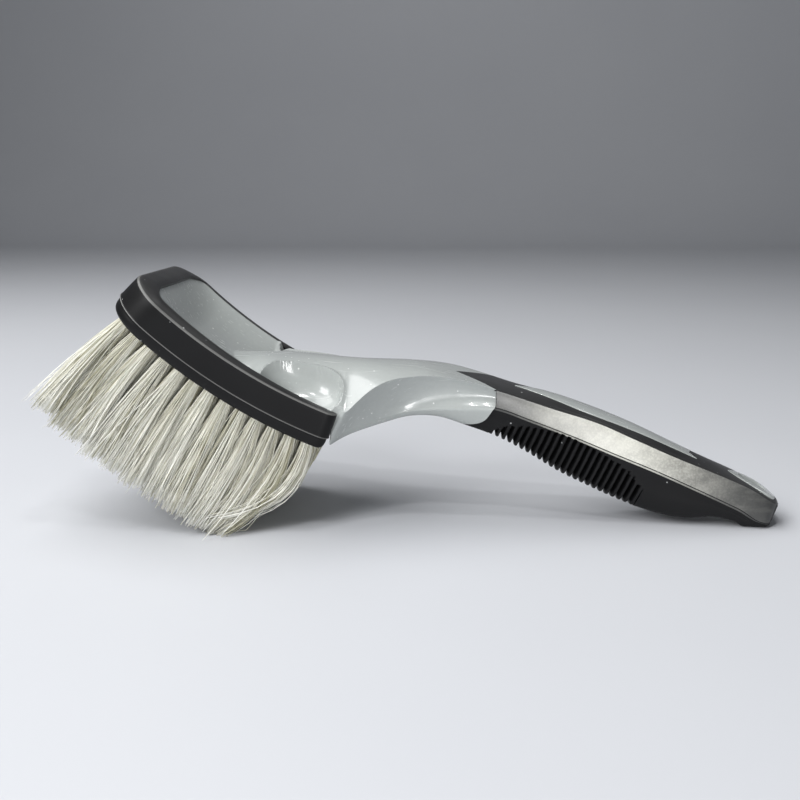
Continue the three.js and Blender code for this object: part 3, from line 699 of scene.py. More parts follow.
@dataclass(frozen=True)
class HandleForm:
    """The form that the grey core and the black grip share, as sections square to x.

    Each line gives a height, or a half-width, of one edge of the section at x.
    """

    top: Line = line(
        (-201, 62.9), (-174, 61.8), (-158, 60.7), (-137, 59.4), (-126, 58.5), (-114, 56), (-95, 51.4),
        (-78, 47.6), (-62, 42.2), (-47, 36.2), (-31, 28.6), (-11, 18.9), (0, 14), (5, 10.6), (9, 7.9),
    )
    ridge: Line = line(
        (-154.5, 44.3), (-145, 52.9), (-138, 56.2), (-130, 57.1), (-123, 57), (-115, 56), (-107, 54),
        (-99, 51.6), (-79, 45.1), (-62, 39.8), (-48, 33.7), (-33, 27.1), (-15, 19.8), (-3, 14.5), (3, 11.5),
        (9, 8.4),
    )
    flank: Line = line(
        (-155, 34.5), (-150, 37.5), (-141, 41.2), (-134, 43), (-128, 44.1), (-112, 45), (-100, 45.1),
        (-86, 40.4), (-71, 34.7), (-56, 28.5), (-41, 22.4), (-26, 15.7), (-10, 8.2), (0, 3.3), (9, 1.4),
    )
    bottom: Line = line(
        (-155, 32.6), (-150, 34.4), (-145, 36.6), (-136, 39.8), (-128, 40.8), (-120, 40.2), (-112, 37.6),
        (-99, 32.6), (-88, 26.8), (-75, 18.9), (-62, 12.6), (-52, 8.2), (-43, 5), (-34, 2.9), (-27, 2.4),
        (-18, 3.2), (-10, 1.8), (-6, 0), (3, 0), (9, 1),
    )
    ridge_half: Line = line(
        (-154.5, 30), (-145, 25), (-138, 21), (-130, 17.6), (-123, 15.4), (-115, 14), (-99, 12.8),
        (-70, 12.7), (-40, 12.4), (0, 11.3), (9, 10.6),
    )
    flank_half: Line = line(
        (-155, 30.4), (-150, 24.2), (-145, 19.4), (-141, 16.2), (-134, 13.4), (-128, 12.7), (-112, 13.2),
        (-99, 13.6), (-70, 14.0), (-40, 13.9), (0, 12.8), (9, 12.2),
    )
    bottom_half: Line = line(
        (-155, 30), (-150, 22.6), (-145, 18), (-141, 14.6), (-136, 12), (-128, 10), (-112, 9.4), (-99, 8.6),
        (-70, 7.8), (-45, 8.4), (-27, 9.6), (0, 10.4), (9, 10),
    )
    tip: Line = line(  # limit of the tongue's edge, which makes its pointed tip
        (-201, 36), (-189, 45), (-185, 52), (-181, 57), (-177, 62.5), (-170, 70),
    )
    bow: Bow = Bow()
    heel: float = -154.5  # where the neck leaves the head
    crown_power: float = 2.2
    scoop: float = 1.7  # hollow of the neck's flanks
    swell: float = 0.7  # how far the neck bulges under its flanks
    dish_depth: float = 3.8
    dish_run: float = 17  # length of the dish's slope at the toe
    panel_gap: float = 0.15  # between the panel and the bumper
    panel_corner: float = 8  # radius of the panel's toe corners
    plate_bottom: float = 6.8
    tongue_lift: float = 0.4  # of the tongue's edge over the head's ridge line
    tongue_rise: float = 1.1  # slope at which the neck's ridges come up out of the head
    ledge_depth: float = 2.5  # of the ledge that the bumper's margin lies on
    pocket_centre: tuple[float, float, float] = (-170.6, 25.9, 58.9)
    pocket_reach: tuple[float, float, float] = (16.4, 13.7, 12.8)
    pocket_slope: float = 0.3  # how far the pocket falls towards the grip
    pocket_power: float = 2.5  # squareness of its outline
    bead: float = 0.55  # height of the rounded bead on its rim
    bead_width: float = 0.8
    heel_lean: float = 0.44  # of the bumper's end face, x for each z
    joint: float = -99.2  # side joint of grey neck and black grip

    @property
    def panel_start(self) -> float:
        """The u of the dished panel's toe end."""
        return -self.bow.toe + self.bow.toe_margin + self.panel_gap

    def pocket(self, x: np.ndarray, y: np.ndarray) -> tuple[np.ndarray, np.ndarray]:
        """How far a place is inside a pocket's rounded outline, 1 mid-way and 0 on it, and the fall there."""
        dx, dy = x - self.pocket_centre[0], np.abs(y) - self.pocket_centre[1]
        long, wide = np.abs(dx / self.pocket_reach[0]), np.abs(dy / self.pocket_reach[1])
        return 1 - long**self.pocket_power - wide**self.pocket_power, self.pocket_slope * dx

    def pocket_floor(self, x: np.ndarray, y: np.ndarray) -> np.ndarray:
        """The floor of a pocket, half a sheared rounded box, and far above where the pocket isn't."""
        inside, fall = self.pocket(x, y)
        low = -fall - self.pocket_reach[2] * np.sqrt(np.maximum(inside, 0))
        return self.pocket_centre[2] + np.where(inside > 0, low, 60.0)

    def rim(self, x: np.ndarray, y: np.ndarray, surface: np.ndarray) -> np.ndarray:
        """How near a place is to the edge where the pocket cuts the surface: 1 on it, falling as a bell."""
        inside, fall = self.pocket(x, y)
        drop = np.maximum(self.pocket_centre[2] - fall - surface, 0) / self.pocket_reach[2]
        away = (inside - drop**2) * self.pocket_reach[1] / self.pocket_power
        return np.exp(-((away / self.bead_width) ** 2))

    def dish(self, x: np.ndarray, y: np.ndarray) -> np.ndarray:
        """The dished panel: deepest along the middle, rising to the margin at the sides and at the toe."""
        bow = self.bow
        u = bow.along(x)
        start = -bow.toe + bow.toe_margin
        edge = 0.35 - bow.rise(u)
        depth = mix(edge + 0.5, self.dish_depth, smooth(u, start - 1, start + self.dish_run))
        share = np.abs(y) / (bow.width / 2 - bow.side_margin)
        return bow.height(x, mix(depth, edge, share**2.4))

    def height(self, x: np.ndarray, y: np.ndarray) -> np.ndarray:
        """The height of the top surface: the crowned tongue over the dish, less the two pockets."""
        bow = self.bow
        top = self.top(x)
        over_head = bow.height(x, np.full_like(x, -self.tongue_lift))
        margin = np.minimum(np.minimum(top - 0.1, over_head), self.tip(x))
        rising = self.ridge(x) + self.tongue_rise * np.minimum(x - self.heel, 0)
        ridge = soft_max(margin, rising, 3.0)
        share = np.abs(y) / self.ridge_half(x)
        tongue = mix(top, ridge, share**self.crown_power)
        surface = soft_max(self.dish(np.minimum(x, self.heel + 4), y), tongue, 0.25)
        surface = np.where(x > self.heel + 3, tongue, surface)
        floor = self.pocket_floor(x, y)
        scooped = soft_min(surface, floor, 0.5) + self.bead * self.rim(x, y, surface)
        edge = bow.width / 2 - bow.side_margin
        ledge = bow.height(x, np.full_like(x, self.ledge_depth)) - 12 * smooth(edge - np.abs(y), 0.9, 1.7)
        in_head = 1 - smooth(x, self.heel - 6, self.heel - 2)
        return soft_max(scooped, mix(scooped - 5, ledge, in_head), 0.35)

    def half(self, x: np.ndarray) -> np.ndarray:
        """Half the width of the top surface: the panel's in the head and the ridge's on the neck."""
        bow = self.bow
        u = bow.along(np.minimum(x, self.heel))
        side = bow.width / 2 - bow.side_margin - self.panel_gap
        panel = bow.half_width(u, side, self.panel_start, self.panel_corner)
        return mix(panel, self.ridge_half(x), smooth(x, self.heel - 0.2, self.heel + 1.6))

    def core_half(self, x: np.ndarray, top_steps: int) -> tuple[np.ndarray, np.ndarray]:
        """Half a section of the grey moulding at each x.

        The top is a height field across the width. A B-spline on control points then rounds the ridge, sinks
        down the hollow flank, turns at the crease and swells under the neck.

        Args:
            x: the stations, shaped (n, 1).
            top_steps: columns on the top surface.

        Returns:
            y and z, shaped (n, columns).
        """
        half = self.half(x)
        f = np.linspace(0, 0.975, top_steps)[None, :]
        y_top = half * f
        z_top = self.height(x, y_top)
        edge_1, edge_2 = self.height(x, half * 0.96), self.height(x, half * 0.99)
        neck = smooth(x, self.heel - 0.3, self.heel + 1.2)
        low_plate = self.bow.height(x, np.full_like(x, self.plate_bottom))
        ridge = self.height(x, half)
        bottom = mix(low_plate, self.bottom(x), neck)
        flank = mix(low_plate + 1, np.maximum(self.flank(x), bottom + 0.5), neck)
        flank_half = mix(half, self.flank_half(x), neck)
        bottom_half = mix(half - 1, self.bottom_half(x), neck)
        hollow = self.scoop * neck * smooth(x, self.heel + 4, self.heel + 20)
        swell = self.swell * neck * smooth(x, -140, -126)

        def side(share: float, sink: float) -> tuple[np.ndarray, np.ndarray]:
            """A control point on the flank, sunk in by part of the hollow."""
            return mix(half, flank_half, share) - hollow * sink, mix(ridge, flank, share)

        y_side, z_side = rounded_outline(
            [
                (half * 0.96, edge_1), (half * 0.99, edge_2), (half, ridge), side(0.07, 0.3), side(0.2, 0.8),
                side(0.4, 1.25), side(0.6, 1.25), side(0.8, 0.8), side(0.94, 0.2), (flank_half, flank),
                (flank_half + swell * 0.6, flank - 0.12 * (flank - bottom)),
                (mix(flank_half, bottom_half, 0.35) + swell, mix(flank, bottom, 0.45)),
                (mix(flank_half, bottom_half, 0.7) + swell * 0.7, mix(flank, bottom, 0.82)),
                (bottom_half * 0.92, bottom - 0.02), (bottom_half * 0.6, bottom - 0.04),
                (bottom_half * 0.2, bottom - 0.05), (-bottom_half * 0.2, bottom - 0.05),
            ],
            4,
        )
        middle = (np.zeros_like(half), z_side[:, -1:])
        return np.hstack([y_top, y_side, middle[0]]), np.hstack([z_top, z_side, middle[1]])

    def grip_half(self, x: np.ndarray) -> tuple[np.ndarray, np.ndarray, np.ndarray]:
        """Half a section of the black grip at each place of a grid.

        The outline is a B-spline: crowned top, crisp ridge, flat leaning band, a narrow bevel under it, and
        the rounded side that runs under the grip.

        Args:
            x: the x of each grid place, shaped (n, columns).

        Returns:
            y and z, shaped (n, columns), and for each column its paint number.
        """
        top, ridge = self.top(x), self.ridge(x)
        bottom = np.maximum(self.bottom(x), 0)
        flank = np.maximum(self.flank(x), bottom + 0.5)
        rh, fh, bh = self.ridge_half(x), self.flank_half(x), self.bottom_half(x)
        depth = flank - bottom

        def crown(share: float) -> tuple[np.ndarray, np.ndarray]:
            """A control point on the crowned top."""
            return rh * share, mix(top, ridge, share**self.crown_power)

        bevel = np.minimum(1.5, depth * 0.25)
        controls = [
            (-crown(0.15)[0], crown(0.15)[1]), crown(0.15), crown(0.3), crown(0.45), crown(0.6), crown(0.72),
            crown(0.84), crown(0.93), crown(0.975), (rh + 0.02, ridge - 0.05), (rh + 0.06, ridge - 0.5),
            (mix(rh, fh, 0.3) + 0.15, mix(ridge, flank, 0.3)),
            (mix(rh, fh, 0.7) + 0.15, mix(ridge, flank, 0.7)),
            (fh, flank + 0.45), (fh + 0.02, flank), (fh - 0.35, flank - 0.35),
            (fh - 0.75, flank - bevel), (fh - 0.8, flank - bevel - 0.5),
            (mix(fh, bh, 0.28) - 0.4, mix(flank, bottom, 0.35)),
            (mix(fh, bh, 0.45), mix(flank, bottom, 0.55)),
            (mix(fh, bh, 0.66), mix(flank, bottom, 0.76)), (mix(fh, bh, 0.86), mix(flank, bottom, 0.92)),
            (bh * 0.92, bottom + 0.02 * depth), (bh * 0.7, bottom), (bh * 0.4, bottom), (bh * 0.13, bottom),
            (-bh * 0.13, bottom),
        ]
        column = np.arange(x.shape[1])
        spans = len(controls) - 2
        steps = (len(column) - 1) // spans
        span = np.minimum(column // steps, spans - 1)
        weights = spline_weights((column - span * steps) / steps)
        y, z = (
            sum(weights[i] * np.stack(values)[span + i, :, column].T for i in range(3))
            for values in zip(*controls)
        )
        y[:, [0, -1]] = 0
        # the crowned top's spans get the lighter copy that paints light; the band's spans get the painted
        # reflection
        return y, z, np.select([span <= 8, (span <= 12) | (span == 14)], [Paint.TOP, Paint.BAND], Paint.BODY)


# ---- the joint between neck and grip, and the inlays ----


@dataclass(frozen=True)
class Inlay:
    """A lens of the grey core that shows in the top of the grip, with rounded top edges and a notched end."""

    name: str
    start: float
    end: float  # at the middle of its width
    tips: float  # of its end, at the sides
    depth: float
    seat_depth: float
    plan: Line  # half its width over the share of its length
    lift: float = 0.18  # of its top above the handle's
    gap: float = 0.12  # round it in its seat
    edge: float = 0.55  # radius of its top edges

    def rings(
        self, form: HandleForm, grown: float, lift: float, depth: float, edge: float
    ) -> bpy.types.Object:
        """The solid between two depths, as rings across it.

        Args:
            form: the handle's form, whose top it follows.
            grown: how much wider than the inlay it is all round.
            lift: how far its top stands above the handle's top.
            depth: how far it goes below that.
            edge: the radius of its top edges.

        Returns:
            The solid.
        """
        f = (np.linspace(0, 1, 90) ** 1.4)[:, None]
        half = self.plan(f) + grown
        y, drop = rounded_outline(
            [
                (-half * 0.2, lift), (half * 0.2, lift), (half * 0.55, lift), (half * 0.85, lift),
                (np.maximum(half - edge, half * 0.9), lift), (half, lift), (half, lift - edge),
                (half, -0.6 * depth), (half, -depth), (half * 0.9, -depth), (half * 0.2, -depth),
                (-half * 0.2, -depth),
            ],
            4,
        )
        y = np.hstack([y, np.zeros_like(half)])
        drop = np.hstack([drop, drop[:, -1:]])
        y[:, 0] = 0
        y, drop = mirrored(y, drop)
        share = np.abs(y) / np.maximum(half, 0.1)
        x = mix(self.start - grown, self.end + grown + (self.tips - self.end) * share**1.3, f)
        crown = (np.abs(y) / form.ridge_half(x)) ** form.crown_power
        z = mix(form.top(x), form.ridge(x), crown) + drop
        return loft(np.stack([x, y, z], -1)).object(self.name)

    def solid(self, form: HandleForm) -> bpy.types.Object:
        """The inlay itself."""
        return self.rings(form, 0, self.lift, self.depth, self.edge)

    def seat(self, form: HandleForm) -> bpy.types.Object:
        """Its seat in the grip, open at the top."""
        return self.rings(form, self.gap, 4, self.seat_depth, 0.02)


@dataclass(frozen=True)
class Joints:
    """Where the black grip meets the grey core: the hooked side joint, the nose, the inlays and the hole."""

    form: HandleForm
    hook: tuple[tuple[float, float], ...] = (
        (0, 52), (0, 46), (-1.4, 43.6), (-3.9, 39.9), (-7.4, 38.2), (-13, 37.6), (-16, 37.5),
    )
    nose: float = 15
    nose_half: float = 16.1
    nose_depth: float = 1.4
    long: Inlay = Inlay(
        "long_inlay", -92, -27.5, -24, 3.2, 2.6,
        line(
            (0, 0.15), (0.04, 1.5), (0.1, 3.6), (0.2, 6.1), (0.32, 7.8), (0.45, 8.2), (0.6, 7.7), (0.8, 6.8),
            (1, 5.9),
        ),
    )
    tail: Inlay = Inlay(
        "tail_inlay", -10.8, 5.9, 5.9, 2.4, 2.5,
        line(
            (0, 0.15), (0.08, 2.5), (0.2, 5.0), (0.38, 7.5), (0.58, 8.7), (0.76, 8.8), (0.9, 7.8),
            (0.97, 5.8), (1, 3.2),
        ),
    )
    hole_size: tuple[float, float] = (11.5, 8)
    hole_radius: float = 2.8
    hole_at: tuple[float, float] = (-1.6, 14.2)
    hole_tilt: float = math.radians(25)
    spine_half: float = 8.2
    spine_under: float = 2.3  # depth of its top below the grip's
    spine_over: float = 5.2  # height of its underside over the grip's
    spine_power: float = 0.55  # squareness of its section

    def side(self, grown: float) -> bpy.types.Object:
        """Everything behind the hooked side joint."""
        hook = path_through([(self.form.joint + x - grown, z + grown) for x, z in self.hook], 6)
        start = [(self.form.joint - grown, 90)]
        end = [(self.form.joint - 16 - grown, -10), (30, -10), (30, 90)]
        return prism(np.vstack([start, hook, end]), -60, 60, True).object("side_cutter")

    def nose_block(self, grown: float) -> bpy.types.Object:
        """The grip's pointed nose: a V in plan with slightly bowed sides, no deeper than the nose's skin."""
        joint, half = self.form.joint, self.nose_half
        f = np.linspace(0, 1, 12)
        x = mix(joint - self.nose - 1.6 * grown, joint + 4, f)
        y = (half + grown) * (0.96 * f + 0.04 * np.sqrt(f))
        right = np.stack([x, y], -1)
        left = np.stack([x, -y], -1)[:0:-1]
        back = [(joint + 10, half + grown), (joint + 10, -half - grown)]
        block = prism(np.vstack([right, back, left]), 20, 90, False).object("nose_cutter")
        xs = np.linspace(joint - 30, joint + 12, 40)
        floor = np.stack([xs, self.form.top(xs) - self.nose_depth - grown], -1)
        outline = np.vstack([floor, [(joint + 12, 90), (joint - 30, 90)]])
        skin = prism(outline, -40, 40, True).object("nose_skin")
        return combine(block, skin, Cut.KEEP_COMMON)

    def behind(self, grown: float) -> bpy.types.Object:
        """All that belongs to the grip: behind the side joint, and the nose."""
        return combine(self.side(grown), self.nose_block(grown), Cut.JOIN)

    def hole(self, grown: float, low: float = -30, high: float = 30) -> bpy.types.Object:
        """The oblong bore of the hang hole, grown all round, between two places along its axis."""
        radius = self.hole_radius + grown
        long, wide = (size / 2 + grown - radius for size in self.hole_size)
        quarter = np.arange(4)[:, None] * np.pi / 2
        turn = (np.linspace(0, np.pi / 2, 9) + quarter).ravel()
        side_x, side_y = (np.repeat(signs, 9) for signs in ((1, -1, -1, 1), (1, 1, -1, -1)))
        x, y = radius * np.cos(turn) + side_x * long, radius * np.sin(turn) + side_y * wide
        cos, sin = math.cos(self.hole_tilt), math.sin(self.hole_tilt)
        level = np.array([[low], [high]])
        x, z = self.hole_at[0] + x * cos + level * sin, self.hole_at[1] - x * sin + level * cos
        return loft(np.stack(np.broadcast_arrays(x, y, z), -1)).object("hole")

    def spine(self, grown: float) -> bpy.types.Object:
        """The part of the core that runs on inside the grip: an oval bar well below the grip's surface."""
        form = self.form
        x = np.linspace(-122, 3 + grown, 60)[:, None]
        low, high = form.bottom(x) + self.spine_over - grown, form.top(x) - self.spine_under + grown
        low = np.minimum(low, high - 1.5 - 2 * grown)
        turn = np.linspace(0, 2 * np.pi, 32, endpoint=False)[None, :]
        c, s = np.cos(turn), np.sin(turn)
        y = (self.spine_half + grown) * np.sign(c) * np.abs(c) ** self.spine_power
        z = (low + high) / 2 + (high - low) / 2 * np.sign(s) * np.abs(s) ** self.spine_power
        return loft(np.stack(np.broadcast_arrays(x, y, z), -1)).object("spine")


# ---- the pieces ----


@dataclass
class HandleCore:
    """The light grey moulding: dished plate, tongue, neck, the spine in the grip and its two inlays."""

    form: HandleForm
    joints: Joints
    finish: GlossyPlastic = GlossyPlastic()
    gap: float = 0.12
    top_columns: int = 84
    lining: float = 1.1  # thickness of the hang hole's wall
    lining_ends: tuple[float, float] = (-12.3, -0.8)

    def neck(self) -> bpy.types.Object:
        """The plate and the neck as one loft of sections from the toe of the dish to behind the joint."""
        form = self.form
        bow, corner, heel = form.bow, form.panel_corner, form.heel
        round_toe = corner * (1 - np.cos(np.linspace(0, np.pi / 2, 16)[1:-1]))
        straight = np.linspace(corner, bow.heel + bow.toe - bow.toe_margin, 170)
        in_head = form.panel_start + np.concatenate([[0.02], round_toe, straight])
        x_head = bow.centre[0] + bow.radius * np.sin(in_head / bow.radius - bow.slope)
        x_heel, x_neck = np.arange(heel - 0.3, heel + 2, 0.2), np.arange(heel + 2, -80, 0.42)
        x = np.concatenate([x_head[x_head < heel - 0.4], x_heel, x_neck])[:, None]
        y, z = form.core_half(x, self.top_columns)
        lean = form.heel_lean * (1 - smooth(x, -153, -136))
        x_grid = x + lean * np.minimum(z - form.height(x, form.half(x)), 0)
        x_grid = np.concatenate([x_grid, x_grid[:, -2:0:-1]], -1)
        y, z = mirrored(y, z)
        return loft(np.stack([x_grid, y, z], -1)).object("handle_core_moulding")

    def build(self) -> bpy.types.Object:
        """Cuts the joint out of the neck, and joins the spine, the inlays and the hole's lining to it."""
        form, joints = self.form, self.joints
        piece = combine(self.neck(), joints.behind(self.gap), Cut.TAKE_AWAY)
        piece = combine(piece, joints.spine(0), Cut.JOIN)
        piece = combine(piece, joints.long.solid(form), Cut.JOIN)
        lining = joints.hole(self.lining, *self.lining_ends)
        piece = combine(piece, combine(joints.tail.solid(form), lining, Cut.JOIN), Cut.JOIN)
        piece = combine(piece, joints.hole(0), Cut.TAKE_AWAY)
        shade(piece)
        place(piece, "handle_core", self.finish.material())
        return piece


@dataclass
class Grip:
    """The black overmould: nose, crowned top, side bands, finger window with fins, and rounded tail."""

    form: HandleForm
    joints: Joints
    body: SoftRubber = SoftRubber("grip_rubber", tint(12, 12, 13), tint(26, 26, 27), 0.4)
    band: BandWithPaintedSheen = BandWithPaintedSheen()
    # painted light: a lighter, shinier copy of the grip rubber on the crowned top, where light falls from
    # above
    top: SoftRubber = SoftRubber("grip_top_painted_light", tint(27, 27, 28), tint(58, 58, 58), 0.34, shine=0.5)
    columns: int = 76
    fin_pitch: float = 2.58  # square to the fins
    fin_share: float = 0.54  # of the pitch
    fin_count: int = 24
    fin_depth: float = 3.3
    fin_edge: float = 0.07  # of the pitch, for half of a fin's flank
    fin_crown: float = 0.35  # how far a fin's tip is rounded down at its edges
    fin_lean: float = math.radians(20)
    first_fin: float = -107.2  # of its front face, square to the fins
    tail_lean: float = math.radians(13)
    tail_round: float = 1.1
    plan_round: float = 2.6
    tail_half: float = 12.5  # the half-width that is drawn in by that rounding
    end_half: float = 11  # of the end face
    end_bow: float = 2.7  # how far the end face's sides fall back from its middle
    rim: float = 1.0  # black rim between the band and the end face
    spine_gap: float = 0.2
    hole_gap: float = 1.2  # from the bore, for the core's lining
    last: float = TAIL_END - 2.0  # middle of the end face
    flute_depth: float = 0.75
    flute_at: float = 9.9  # from the middle plane
    flute_width: float = 1.5
    window: Line = line(
        (-100, 35.6), (-95, 37.4), (-86, 37.5), (-77, 36.2), (-69, 33.1), (-61, 28.8), (-53, 23.4),
        (-48, 18.6), (-43.5, 11.5), (-41, 4),
    )

    def stations(self) -> np.ndarray:
        """Places along the grip: close together over the fins and in the rounded tail."""
        end = self.last
        tail = end - 3.6 * np.cos(np.linspace(0, np.pi / 2, 12))
        return np.concatenate([
            np.arange(-118, -101, 0.6), np.arange(-101, -38, 0.165), np.arange(-38, end - 3.7, 0.55), tail,
        ])

    def fins(self, x: np.ndarray, z: np.ndarray) -> np.ndarray:
        """How deep the surface lies under the fins' tips: 0 on a fin, the full depth between two fins."""
        square = x * math.cos(self.fin_lean) - z * math.sin(self.fin_lean)
        number = (square - self.first_fin) / self.fin_pitch
        half = self.fin_share / 2
        phase = np.abs((number % 1) - half)
        phase = np.minimum(phase, 1 - phase)
        groove = smooth(phase, half - self.fin_edge, half + self.fin_edge)
        last = self.fin_count - 0.5
        in_row = smooth(number, -0.05, 0.05) * (1 - smooth(number, last, last + 0.1))
        below = smooth(self.window(x) - z, 0.0, 0.9) * smooth(-41 - x, -1.5, 1.0)
        rounding = self.fin_crown * (phase / half) ** 2 * (1 - groove)
        return below * in_row * (self.fin_depth * groove + rounding)

    def flute(self, x: np.ndarray, y: np.ndarray) -> np.ndarray:
        """The shallow flute between the long inlay and the band."""
        along = smooth(x, -84, -70) * (1 - smooth(x, -44, -26))
        across = np.exp(-(((np.abs(y) - self.flute_at) / self.flute_width) ** 2))
        return self.flute_depth * along * across

    def body_skin(self) -> bpy.types.Object:
        """The overmould's outer form, before its seats and its hole are cut.

        Each station leans with the fins, and with the end face at the tail. The section is worked out at the
        leaning place, sunk along its own normal between the fins and in the flute, and drawn in towards its
        middle in the rounded tail.
        """
        form = self.form
        s = self.stations()[:, None]
        _, z0, band = form.grip_half(np.broadcast_to(s, (len(s), self.columns)))
        top, bottom = form.top(s), np.maximum(form.bottom(s), 0)
        axis, tall = (top + bottom) / 2, (top - bottom) / 2
        lean = math.tan(self.fin_lean) * smooth(s, -116, -100)
        lean = mix(lean, math.tan(self.tail_lean), smooth(s, -38, 0))
        x = s + lean * (z0 - axis)
        y, z, _ = form.grip_half(x)
        dy, dz = np.gradient(y, axis=1), np.gradient(z, axis=1)
        size = np.maximum(np.hypot(dy, dz), 1e-6)
        sunk = self.fins(x, z) + self.flute(x, y) * smooth(z - form.ridge(x), -0.5, 0.3)
        y, z = np.maximum(y + sunk * dz / size, 0), z - sunk * dy / size
        y[:, [0, -1]] = 0
        left = self.last - s
        z = axis + (z - axis) * (1 - quarter_round(left, self.tail_round) / tall)
        y = y * (1 - quarter_round(left, self.plan_round) / self.tail_half)
        x = x - self.end_bow * (y / self.end_half) ** 2 * smooth(s, -10, TAIL_END)
        x = np.concatenate([x, x[:, -2:0:-1]], -1)
        y, z = mirrored(y, z)
        rings = np.stack([x, y, np.maximum(z, 0.02)], -1)
        middle = rings[-1].mean(0)
        caps = [middle + (rings[-1] - middle) * share + [0.12 * (1 - share), 0, 0] for share in (0.75, 0.4)]
        around = np.concatenate([band[:-1], band[-2::-1]])
        rows = np.append(s, self.last)[:, None]
        paint = np.where((around == Paint.BAND) & (rows > self.last - self.rim), Paint.BODY, around)
        return loft(np.concatenate([rings, caps]), paint).object("grip_overmould_skin")

    def build(self) -> bpy.types.Object:
        """Cuts the joint, the seats of the inlays, the room for the spine and the hole."""
        form, joints = self.form, self.joints
        skin = self.body_skin()
        wear(skin, self.body.material(), self.band.material(), self.top.material())
        piece = combine(skin, joints.behind(0), Cut.KEEP_COMMON)
        seats = [joints.long.seat(form), joints.tail.seat(form)]
        for cutter in (*seats, joints.spine(self.spine_gap), joints.hole(self.hole_gap)):
            piece = combine(piece, cutter, Cut.TAKE_AWAY)
        shade(piece)
        place(piece, "grip_overmould")
        return piece


